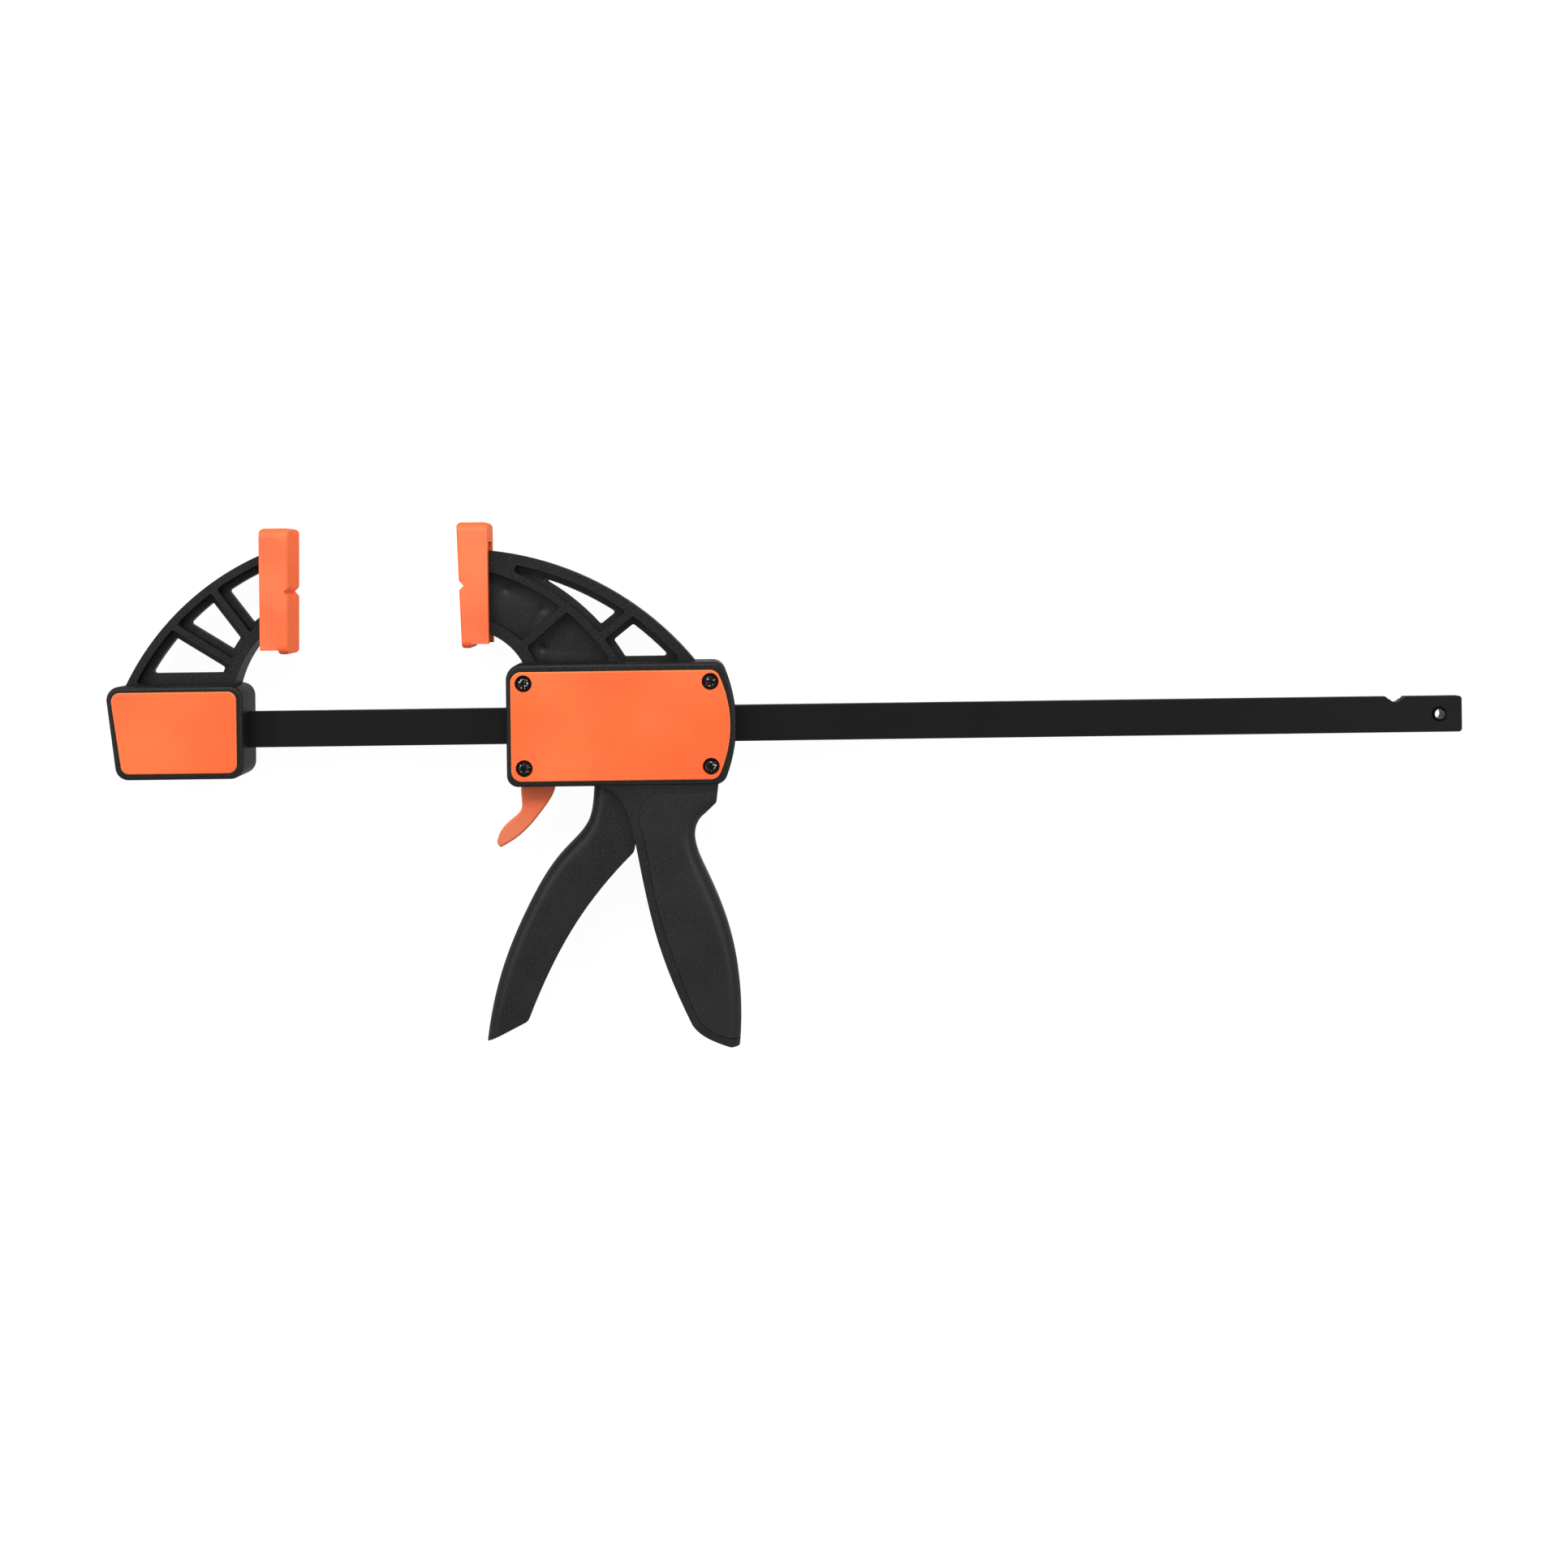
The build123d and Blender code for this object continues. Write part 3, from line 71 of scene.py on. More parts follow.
# A screw's dome starts above the underside of its flange, and rises from there.
DOME_FOOT = 0.85 * MM
DOME_RISE = 1.45 * MM
# An edge that turns by more than the first angle gets a bevel, and one past the second is shaded sharp.
# Faces that turn by less than the third are made one.
BEVEL_ANGLE = math.radians(28)
SHARP_ANGLE = math.radians(35)
FLAT_ANGLE = math.radians(0.4)


def linear(text):
    """sRGB hex to a linear colour with full alpha."""
    parts = [int(text[i:i + 2], 16) / 255.0 for i in (1, 3, 5)]
    return tuple(c / 12.92 if c <= 0.04045 else ((c + 0.055) / 1.055) ** 2.4 for c in parts) + (1.0,)


def length(name, description, value):
    """A length property in metres, given in millimetres."""
    return bpy.props.FloatProperty(name=name, description=description, default=value * MM, unit="LENGTH",
                                   precision=5)


def colour(name, description, text):
    """A colour property, given as sRGB hex."""
    return bpy.props.FloatVectorProperty(name=name, description=description, default=linear(text), size=4,
                                         subtype="COLOR", min=0.0, max=1.0)


# ---------------------------------------------------------------- what a user may change
class ClampSizes(bpy.types.PropertyGroup):
    """Sizes of the small details."""

    arm_edge: length("Moulding edge", "Radius that eases the mouldings' sharp edges", 0.5)
    rim_edge: length("Seat edge", "Radius along the seats of the side plates", 0.12)
    pad_edge: length("Pad edge", "Radius that eases the edges of the soft pads", 0.4)
    lever_edge: length("Lever edge", "Radius that eases the levers' edges", 0.7)
    seam_edge: length("Seam edge", "Radius beside the palm cover's seam", 0.55)
    plate_edge: length("Steel edge", "Radius of the stamped steel plates' edges", 0.25)
    flange_radius: length("Screw flange", "Radius of a cover screw's flange", 4.2)
    dome_radius: length("Screw dome", "Radius of a cover screw's domed head", 3.0)
    cross_depth: length("Cross depth", "Depth of the cross recess in a screw head", 1.35)
    pin_radius: length("Pin radius", "Outer radius of the slotted spring pins", 3.48)
    pin_wall: length("Pin wall", "Wall of the slotted spring pins", 0.9)


class ClampColours(bpy.types.PropertyGroup):
    """Colours of the finishes."""

    black: colour("Black nylon", "Colour of the black mouldings", "#1A1A1A")
    black_fleck: colour("Nylon fleck", "Glass fibre ends at the surface of the black mouldings", "#3E3E3E")
    palm: colour("Palm cover", "Colour of the soft palm cover", "#1C1C1C")
    bar: colour("Bar", "Colour of the blackened bar", "#121212")
    orange: colour("Side plates", "Colour of the orange plates", "#FF6732")
    orange_light: colour("Side plates, pale", "Paler drift in the orange plates", "#FF733C")
    # Painted highlight: this paler orange is put on the plates' rounded edges and other faces turned away
    # from the width direction.
    orange_edge: colour("Side plates, edge", "Rounded edges of the orange plates", "#FF8E44")
    pad: colour("Pads", "Colour of the soft pads", "#FF6A3E")
    pad_light: colour("Pads, pale", "Paler drift in the soft pads", "#FF784A")
    # Painted shade: this darker amber is put on the pads' clamping faces and ends, where the surface turns
    # away from the width direction.
    pad_side: colour("Pads, side", "Clamping faces and ends of the soft pads", "#F2692C")
    release: colour("Release lever", "Colour of the release lever", "#DE6743")
    # Used twice: as random paler drift, and as painted light on the lever's faces that turn away from the
    # width direction.
    release_light: colour("Release lever, pale", "Paler drift in the release lever", "#E57A55")
    steel: colour("Steel", "Colour of the plain steel parts", "#B9B9B6")
    screw: colour("Screws", "Colour of the blackened screws", "#0E0D0C")
    paper: colour("Floor", "Colour of the floor and background", "#FFFFFF")


# ---------------------------------------------------------------- meshes
def put_object(name, mesh):
    """Object of a mesh, linked to the scene and shaded smooth up to its sharp edges."""
    mesh.polygons.foreach_set("use_smooth", np.ones(len(mesh.polygons), bool))
    mesh.set_sharp_from_angle(angle=SHARP_ANGLE)
    piece = bpy.data.objects.new(name, mesh)
    bpy.context.scene.collection.objects.link(piece)
    return piece


def put_mesh(name, points, faces):
    """Object from an array of points and a list of faces, its double points merged."""
    mesh = bpy.data.meshes.new(name)
    mesh.from_pydata(points, [], faces)
    work = bmesh.new()
    work.from_mesh(mesh)
    bmesh.ops.remove_doubles(work, verts=work.verts, dist=1e-7)
    bmesh.ops.recalc_face_normals(work, faces=work.faces)
    work.to_mesh(mesh)
    work.free()
    return put_object(name, mesh)


def ring_faces(rings, corners, capped=False):
    """Quads between closed rings of points that follow each other, and a face over each end if capped."""
    ring = np.arange(rings - 1)[:, None]
    corner = np.arange(corners)[None, :]
    next_corner = (corner + 1) % corners
    quads = np.stack([ring * corners + corner, ring * corners + next_corner,
                      (ring + 1) * corners + next_corner, (ring + 1) * corners + corner], axis=-1)
    faces = quads.reshape(-1, 4).tolist()
    if capped:
        faces += [list(range(corners)), list(range((rings - 1) * corners, rings * corners))]
    return faces


def eased_copy(node, name, width, rim=None, rim_width=0.0, segments=2, left_sharp=None, clamped=True):
    """Copy of a moulded node with its sharp edges rounded. Its triangles are merged and flat regions
    dissolved; each edge that turns enough gets a bevel, of rim_width where it is further than rim from
    the middle. left_sharp tells from the edges' middles which ones get none; clamped keeps the width
    below the shortest edge."""
    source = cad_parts[node].data
    points = np.zeros(len(source.vertices) * 3, np.float32)
    source.vertices.foreach_get("co", points)
    corners = np.zeros(len(source.polygons) * 3, np.int32)
    source.polygons.foreach_get("vertices", corners)
    mesh = bpy.data.meshes.new(name)
    mesh.from_pydata(points.reshape(-1, 3), [], corners.reshape(-1, 3).tolist())
    work = bmesh.new()
    work.from_mesh(mesh)
    bmesh.ops.remove_doubles(work, verts=work.verts, dist=2e-6)
    bmesh.ops.dissolve_limit(work, angle_limit=FLAT_ANGLE, verts=work.verts, edges=work.edges)
    angles = np.array([edge.calc_face_angle(0.0) for edge in work.edges])
    middles = np.array([(edge.verts[0].co + edge.verts[1].co) / 2 for edge in work.edges])
    work.to_mesh(mesh)
    work.free()
    weights = np.where(angles > BEVEL_ANGLE, 1.0, 0.0)
    if rim is not None:
        weights = np.where(np.abs(middles[:, 2] - MIDDLE_Z) > rim, weights * rim_width / width, weights)
    if left_sharp is not None:
        weights = np.where(left_sharp(middles), 0.0, weights)
    store = mesh.attributes.new("bevel_weight_edge", "FLOAT", "EDGE")
    store.data.foreach_set("value", weights.astype(np.float32))
    piece = put_object(name, mesh)
    bevel = piece.modifiers.new("Eased edges", "BEVEL")
    bevel.width = width
    bevel.segments = segments
    bevel.limit_method = "WEIGHT"
    bevel.harden_normals = True
    bevel.use_clamp_overlap = clamped
    bevel.miter_outer = "MITER_ARC"
    return piece


def finish(piece, body, slot, material, *nodes):
    """Fasten a piece to its body, hide the nodes it stands for and give it its finish."""
    piece.data.materials.clear()
    piece.data.materials.append(material)
    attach(piece, body)
    if nodes:
        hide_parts(*nodes)


def dress(node, material):
    """Give a node that is shown as it is its finish."""
    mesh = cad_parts[node].data
    mesh.materials.clear()
    mesh.materials.append(material)


# ---------------------------------------------------------------- materials
def fill(tree, node, inputs):
    """Link or set a node's inputs: each value is a socket to link or a value to set."""
    for key, value in inputs.items():
        if isinstance(value, bpy.types.NodeSocket):
            tree.links.new(value, node.inputs[key])
        else:
            node.inputs[key].default_value = value


def add(tree, kind, inputs=None, **settings):
    """Add a node to a tree with its settings and inputs."""
    node = tree.nodes.new(kind)
    for key, value in settings.items():
        setattr(node, key, value)
    fill(tree, node, inputs or {})
    return node


def bare_material(name):
    """New material and its emptied tree."""
    found = bpy.data.materials.new(name)
    found.use_nodes = True
    found.node_tree.nodes.clear()
    return found, found.node_tree


def start(name):
    """New material with its tree, its shader and its Object coordinates."""
    found, tree = bare_material(name)
    shader = add(tree, "ShaderNodeBsdfPrincipled")
    add(tree, "ShaderNodeOutputMaterial", {"Surface": shader.outputs["BSDF"]})
    place = add(tree, "ShaderNodeTexCoord").outputs["Object"]
    return found, tree, shader, place


def per_mm(size):
    """Texture scale for features of a size in millimetres, on coordinates in metres."""
    return 1.0 / (size * MM)


def noise(tree, place, scale, detail, roughness=0.5):
    """Socket of a noise."""
    return add(tree, "ShaderNodeTexNoise", {"Vector": place, "Scale": scale, "Detail": detail,
                                            "Roughness": roughness}).outputs["Fac"]


def ranged(tree, value, low, high, to_low=0.0, to_high=1.0):
    """Socket of a value, clamped to low to high and stretched to the range to_low to to_high."""
    return add(tree, "ShaderNodeMapRange", {"Value": value, "From Min": low, "From Max": high,
                                            "To Min": to_low, "To Max": to_high}).outputs["Result"]


def maths(tree, operation, first, second=0.0):
    """Socket of a calculation with one or two values."""
    return add(tree, "ShaderNodeMath", {0: first, 1: second}, operation=operation).outputs[0]


def mixed(tree, share, first, second):
    """Socket of a colour mix."""
    return add(tree, "ShaderNodeMix", {MIX_FACTOR: share, MIX_A: first, MIX_B: second},
               data_type="RGBA").outputs[MIX_RESULT]


def scaled(base, factor):
    """A colour made darker or lighter by a factor."""
    return tuple(min(1.0, c * factor) for c in base[:3]) + (1.0,)


def moulded(name, base, pale, side, grain_mm, drift_mm, roughness, relief, specular, ior, fleck=None,
            rim_tone=None):
    """A plastic from a spark-eroded mould: fine pits, a slow drift from base to pale and, as painted light
    and shade, the side colour where the surface turns away from the width direction. Where asked it has
    fine light flecks, and it takes the rim tone everywhere but the pocket floors and the grip and levers
    below the housing."""
    found, tree, shader, place = start(name)
    grain = noise(tree, place, per_mm(grain_mm), 3.0, 0.6)
    drift = noise(tree, place, per_mm(drift_mm), 1.5)
    tone = mixed(tree, ranged(tree, drift, 0.36, 0.64), base, pale)
    normal = add(tree, "ShaderNodeNewGeometry").outputs["Normal"]
    facing = add(tree, "ShaderNodeSeparateXYZ", {"Vector": normal}).outputs["Z"]
    # Painted light and shade: faces turned away from the width direction take the side colour.
    turned = ranged(tree, maths(tree, "ABSOLUTE", facing), 0.96, 0.6)
    tone = mixed(tree, turned, tone, side)
    # Darker rim tone everywhere but the pocket floors and the grip and levers below the housing.
    if rim_tone:
        tone = mixed(tree, pocket_and_grip_share(tree, place), rim_tone, tone)
    if fleck:
        tone = mixed(tree, fibre_ends(tree, place), tone, fleck)
        tone = mixed(tree, ranged(tree, grain, 0.42, 0.72, 0.0, 0.35), tone, fleck)
    # A pitted surface loses its gloss where it is seen edge-on.
    grazing = add(tree, "ShaderNodeLayerWeight").outputs["Facing"]
    gloss = ranged(tree, grazing, 0.15, 0.75, specular, specular * 0.1)
    bump = add(tree, "ShaderNodeBump", {"Height": grain, "Strength": relief, "Distance": 0.08 * MM})
    fill(tree, shader, {"Base Color": tone, "Normal": bump.outputs["Normal"], "IOR": ior,
                        "Roughness": ranged(tree, grain, 0.3, 0.7, roughness - 0.09, roughness + 0.09),
                        "Specular IOR Level": gloss})
    return found


def fibre_ends(tree, place):
    """Share of glass fibre at the surface: soft dots 0.65 mm apart, each of its own strength."""
    dots = add(tree, "ShaderNodeTexVoronoi", {"Vector": place, "Scale": per_mm(0.65)})
    core = ranged(tree, dots.outputs["Distance"], 0.42, 0.1)
    draw = add(tree, "ShaderNodeSeparateColor", {"Color": dots.outputs["Color"]}).outputs["Red"]
    return maths(tree, "MULTIPLY", core, ranged(tree, draw, 0.3, 1.0))


def pocket_and_grip_share(tree, place):
    """1 in the pocket floors of the arms and on the grip and levers below the housing, and 0 elsewhere."""
    rim_half, floor_half = 8.0 * MM, 3.0 * MM
    housing_foot, grip_top = -1.0 * MM, -6.0 * MM
    parts = add(tree, "ShaderNodeSeparateXYZ", {"Vector": place})
    height = maths(tree, "SUBTRACT", parts.outputs["Z"], MIDDLE_Z)
    floors = ranged(tree, maths(tree, "ABSOLUTE", height), rim_half, floor_half)
    low = ranged(tree, parts.outputs["Y"], housing_foot, grip_top)
    return maths(tree, "MAXIMUM", floors, low)


def blackened_bar(base):
    """Cold drawn flat bar with a black oxide finish: fine lines run along it and dull its gloss."""
    found, tree, shader, place = start("Black_oxide_drawn_steel")
    # Drawing lines are 0.1 mm apart in life. They are made 0.9 mm across and 60 mm long, so that they show.
    across, along = per_mm(0.9), per_mm(60.0)
    stretch = add(tree, "ShaderNodeMapping", {"Vector": place, "Scale": (along, across, across)})
    lines = noise(tree, stretch.outputs["Vector"], 1.0, 3.0)
    blotch = noise(tree, place, per_mm(22.0), 3.0)
    bump = add(tree, "ShaderNodeBump", {"Height": lines, "Strength": 0.3, "Distance": 0.03 * MM})
    fill(tree, shader, {"Base Color": mixed(tree, lines, scaled(base, 0.7), scaled(base, 1.4)),
                        "Roughness": ranged(tree, blotch, 0.3, 0.7, 0.4, 0.52),
                        "Normal": bump.outputs["Normal"], "Specular IOR Level": 0.085})
    return found


def plain_steel(name, base, roughness):
    """Bare or plated steel with faint handling marks in its gloss."""
    found, tree, shader, place = start(name)
    marks = noise(tree, place, per_mm(1.6), 4.0)
    fill(tree, shader, {"Base Color": mixed(tree, marks, scaled(base, 0.85), base), "Metallic": 1.0,
                        "Roughness": ranged(tree, marks, 0.3, 0.7, roughness - 0.06, roughness + 0.08)})
    return found


def oiled_screw(base, steel, worn_from):
    """Black oxide screw, bright where a driver has worn its dome: in small patches 1 mm across, from the
    height worn_from up."""
    found, tree, shader, place = start("Black_oxide_screw_steel")
    height = add(tree, "ShaderNodeSeparateXYZ", {"Vector": place}).outputs["Z"]
    patch = noise(tree, place, per_mm(1.0), 2.0)
    worn = maths(tree, "MULTIPLY", maths(tree, "GREATER_THAN", height, worn_from),
                 ranged(tree, patch, 0.58, 0.66))
    fill(tree, shader, {"Base Color": mixed(tree, worn, base, steel), "Metallic": worn,
                        "Roughness": ranged(tree, patch, 0.0, 1.0, 0.45, 0.3), "Specular IOR Level": 0.12})
    return found


# ---------------------------------------------------------------- operators
# Made by the finishes and used by the pieces.
MATERIALS = {}


class CLAMP_OT_finishes(bpy.types.Operator):
    """Make the clamp's materials from its colours"""

    bl_idname = "clamp.finishes"
    bl_label = "Finishes"

    def execute(self, context):
        colours = context.scene.clamp_colours
        tint = {key: tuple(getattr(colours, key)) for key in ClampColours.__annotations__}
        black, palm, release_light = tint["black"], tint["palm"], tint["release_light"]
        # Glass-filled nylon 6, spark-eroded mould: dark satin with fine light flecks, painted shade (0.6 of
        # the black) where its surface turns away, and the darker rim tone outside the pocket floors.
        MATERIALS["nylon"] = moulded(
            "Glass_filled_nylon", scaled(black, 0.75), scaled(black, 1.2), scaled(black, 0.6),
            grain_mm=0.55, drift_mm=28.0, roughness=0.4, relief=0.7, specular=0.13, ior=1.53,
            fleck=tint["black_fleck"], rim_tone=scaled(black, 0.5))
        # Thermoplastic rubber moulded over nylon: a little more matt than the nylon, with painted shade
        # (0.6 of its colour) where its surface turns away.
        MATERIALS["palm"] = moulded(
            "Soft_overmoulding", scaled(palm, 0.85), scaled(palm, 1.25), scaled(palm, 0.6),
            grain_mm=0.6, drift_mm=26.0, roughness=0.42, relief=0.9, specular=0.15, ior=1.5,
            fleck=tint["black_fleck"])
        # ABS in colour, satin, with a slow drift of tone and a painted highlight on its rounded edges.
        MATERIALS["plate"] = moulded(
            "Satin_ABS", tint["orange"], tint["orange_light"], tint["orange_edge"],
            grain_mm=0.8, drift_mm=45.0, roughness=0.42, relief=0.25, specular=0.35, ior=1.54)
        # Thermoplastic rubber cap, soft satin, with painted shade on its clamping faces and ends.
        MATERIALS["pad"] = moulded(
            "Thermoplastic_rubber", tint["pad"], tint["pad_light"], tint["pad_side"],
            grain_mm=0.8, drift_mm=26.0, roughness=0.5, relief=0.3, specular=0.3, ior=1.5)
        # Acetal: smooth and slightly waxy, with its paler colour painted as light where its surface turns
        # away.
        MATERIALS["release"] = moulded(
            "Acetal", tint["release"], release_light, release_light,
            grain_mm=0.8, drift_mm=30.0, roughness=0.4, relief=0.15, specular=0.35, ior=1.48)
        # Black oxide on drawn steel, zinc on the hidden steel parts, black oxide on the screws.
        MATERIALS["bar"] = blackened_bar(tint["bar"])
        MATERIALS["steel"] = plain_steel("Zinc_plated_steel", tint["steel"], roughness=0.34)
        worn_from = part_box("cover_screws")[1].z - 1.3 * MM
        MATERIALS["screw"] = oiled_screw(tint["screw"], tint["steel"], worn_from)
        return {"FINISHED"}


class CLAMP_OT_bar(bpy.types.Operator):
    """Flat bar and the slotted pin near its free end"""

    bl_idname = "clamp.bar"
    bl_label = "Bar and stop pin"

    def execute(self, context):
        sizes = context.scene.clamp_sizes
        dress("bar", MATERIALS["bar"])
        pin = slotted_pin("stop_pin_rolled", "stop_pin", sizes, slot_angle=math.radians(48))
        finish(pin, "bar_and_jaw", "black_bar", MATERIALS["screw"], "stop_pin")
        return {"FINISHED"}


def slotted_pin(name, node, sizes, slot_angle):
    """Rolled spring pin in its node's box: a wall section with rounded corners is carried round an arc
    that stops at the slot. A point is middle + r(s) * (cos a, sin a), z(s), with s round the section and
    a along the arc."""
    low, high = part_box(node)
    middle_x, middle_y = (low.x + high.x) / 2, (low.y + high.y) / 2
    outer, inner = sizes.pin_radius, sizes.pin_radius - sizes.pin_wall
    ease = sizes.pin_wall * 0.3
    section = np.array([
        (inner, low.z + ease), (inner + ease, low.z), (outer - 2 * ease, low.z),
        (outer, low.z + 3 * ease), (outer, high.z - 3 * ease), (outer - 2 * ease, high.z),
        (inner + ease, high.z), (inner, high.z - ease),
    ])
    steps = 61
    slot_half = 0.65 * MM / outer
    turn = np.linspace(slot_angle + slot_half, slot_angle + 2 * math.pi - slot_half, steps)[:, None]
    radius = section[None, :, 0]
    height = np.broadcast_to(section[None, :, 1], (steps, len(section)))
    points = np.stack([middle_x + radius * np.cos(turn), middle_y + radius * np.sin(turn), height], axis=-1)
    return put_mesh(name, points.reshape(-1, 3), ring_faces(steps, len(section), capped=True))


class CLAMP_OT_fixed_jaw(bpy.types.Operator):
    """Fixed jaw moulding, its inlays and the pins that hold the bar"""

    bl_idname = "clamp.fixed_jaw"
    bl_label = "Fixed jaw"

    def execute(self, context):
        sizes = context.scene.clamp_sizes
        jaw = eased_copy("fixed_jaw", "fixed_jaw_moulding", sizes.arm_edge, rim=SEAT_HALF,
                         rim_width=sizes.rim_edge)
        finish(jaw, "bar_and_jaw", "black_nylon", MATERIALS["nylon"], "fixed_jaw")
        dress("fixed_jaw_front_inlay", MATERIALS["plate"])
        dress("fixed_jaw_back_inlay", MATERIALS["plate"])
        dress("fixed_jaw_dowel", MATERIALS["steel"])
        pin = slotted_pin("fixed_jaw_pin_rolled", "fixed_jaw_pin", sizes, slot_angle=math.radians(90))
        finish(pin, "bar_and_jaw", "bare_steel", MATERIALS["steel"], "fixed_jaw_pin")
        return {"FINISHED"}


class CLAMP_OT_sliding_jaw(bpy.types.Operator):
    """Sliding jaw moulding, its side plates and the palm cover of its grip"""

    bl_idname = "clamp.sliding_jaw"
    bl_label = "Sliding jaw"

    def execute(self, context):
        sizes = context.scene.clamp_sizes
        jaw = eased_copy("sliding_jaw", "sliding_jaw_moulding", sizes.arm_edge, rim=SEAT_HALF,
                         rim_width=sizes.rim_edge)
        finish(jaw, "head", "black_nylon", MATERIALS["nylon"], "sliding_jaw")
        palm = eased_copy("palm_grip", "palm_cover", sizes.seam_edge, clamped=False)
        finish(palm, "head", "soft_black", MATERIALS["palm"], "palm_grip")
        dress("front_cover", MATERIALS["plate"])
        dress("back_cover", MATERIALS["plate"])
        dress("trigger_pin", MATERIALS["steel"])
        return {"FINISHED"}


class CLAMP_OT_pads(bpy.types.Operator):
    """Soft pads of both jaws"""

    bl_idname = "clamp.pads"
    bl_label = "Pads"

    def execute(self, context):
        sizes = context.scene.clamp_sizes
        for node, body in (("fixed_pad", "bar_and_jaw"), ("moving_pad", "head")):
            pad = eased_copy(node, node + "_cap", sizes.pad_edge, segments=3,
                             left_sharp=lambda spots, y=NOTCH_Y[node]: near_grooves(spots, y))
            finish(pad, body, "orange_pad", MATERIALS["pad"], node)
        return {"FINISHED"}


def near_grooves(spots, notch_y):
    """True for edges of the groove along a pad's face and of the notch across it."""
    groove_reach, notch_reach = 2.5 * MM, 3.2 * MM
    in_groove = np.abs(spots[:, 2] - MIDDLE_Z) < groove_reach
    return in_groove | (np.abs(spots[:, 1] - notch_y) < notch_reach)


class CLAMP_OT_levers(bpy.types.Operator):
    """Trigger lever and release lever"""

    bl_idname = "clamp.levers"
    bl_label = "Trigger and release lever"

    def execute(self, context):
        sizes = context.scene.clamp_sizes
        trigger = eased_copy("trigger_lever", "trigger_moulding", sizes.lever_edge, segments=3)
        finish(trigger, "trigger", "black_nylon", MATERIALS["nylon"], "trigger_lever")
        release = eased_copy("release_trigger", "release_moulding", sizes.lever_edge, segments=3)
        finish(release, "release", "orange_release", MATERIALS["release"], "release_trigger")
        return {"FINISHED"}


class CLAMP_OT_mechanism(bpy.types.Operator):
    """Jamming plates and springs inside the housing"""

    bl_idname = "clamp.mechanism"
    bl_label = "Plates and springs"

    def execute(self, context):
        sizes = context.scene.clamp_sizes
        plates = (("front_drive_plate", "drive"), ("rear_drive_plate", "drive"),
                  ("front_brake_plate", "release"), ("rear_brake_plate", "release"))
        for node, body in plates:
            plate = eased_copy(node, node + "_stamped", sizes.plate_edge)
            finish(plate, body, "bare_steel", MATERIALS["steel"], node)
        # With the trigger squeezed, the drive plates press their spring together by 10.7 mm.
        drive = coil("drive_spring_wire", "drive_spring", wire=0.9 * MM, turns=8)
        finish(drive, "head", "bare_steel", MATERIALS["steel"], "drive_spring")
        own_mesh(drive)
        # With the release lever pressed, its spring keeps 0.41 of its length.
        brake = coil("brake_spring_wire", "brake_spring", wire=0.4 * MM, turns=4)
        finish(brake, "head", "bare_steel", MATERIALS["steel"], "brake_spring")
        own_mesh(brake)
        return {"FINISHED"}


def coil(name, node, wire, turns):
    """Compression spring in its node's box, along X, of wire with the radius wire, its end turns closed.
    The wire's middle is x(a), R cos a, R sin a; x climbs a little over one wire a turn along the closed
    turns and evenly between, and a circle of the wire's radius stands square to that line at each angle."""
    low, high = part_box(node)
    radius = (high.z - low.z) / 2 - wire
    middle_y, middle_z = (low.y + high.y) / 2, (low.z + high.z) / 2
    inset = 1.02 * wire
    reach = high.x - low.x - 2 * inset
    steps_per_turn, corners = 36, 12
    angle = np.linspace(0.0, 2 * math.pi * turns, turns * steps_per_turn + 1)
    closed = 0.8
    climb = closed * 2.02 * wire
    rise = np.interp(angle / (2 * math.pi), [0, closed, turns - closed, turns],
                     [0, climb, reach - climb, reach])
    line = np.stack([low.x + inset + rise, middle_y + radius * np.cos(angle),
                     middle_z + radius * np.sin(angle)], axis=-1)
    along = np.gradient(line, axis=0)
    along /= np.linalg.norm(along, axis=1, keepdims=True)
    outward = np.stack([np.zeros_like(angle), np.cos(angle), np.sin(angle)], axis=-1)
    across = np.cross(along, outward)
    across /= np.linalg.norm(across, axis=1, keepdims=True)
    ring = np.linspace(0.0, 2 * math.pi, corners, endpoint=False)[None, :, None]
    points = line[:, None] + wire * (np.cos(ring) * outward[:, None] + np.sin(ring) * across[:, None])
    return put_mesh(name, points.reshape(-1, 3), ring_faces(len(angle), corners, capped=True))


class CLAMP_OT_screws(bpy.types.Operator):
    """Four cross-head screws with flanges"""

    bl_idname = "clamp.screws"
    bl_label = "Cover screws"

    def execute(self, context):
        sizes = context.scene.clamp_sizes
        low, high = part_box("cover_screws")
        reach = sizes.flange_radius
        seat = high.z - DOME_FOOT - DOME_RISE
        spots = [(x, y) for x in (low.x + reach, high.x - reach) for y in (low.y + reach, high.y - reach)]
        points, faces = [], []
        for x, y in spots:
            head, quads = screw(sizes, seat - low.z)
            faces += [[corner + len(points) * len(head) for corner in quad] for quad in quads]
            points.append(head + np.array([x, y, seat]))
        screws = put_mesh("cover_screws_turned", np.concatenate(points), faces)
        finish(screws, "head", "black_screw", MATERIALS["screw"], "cover_screws")
        return {"FINISHED"}


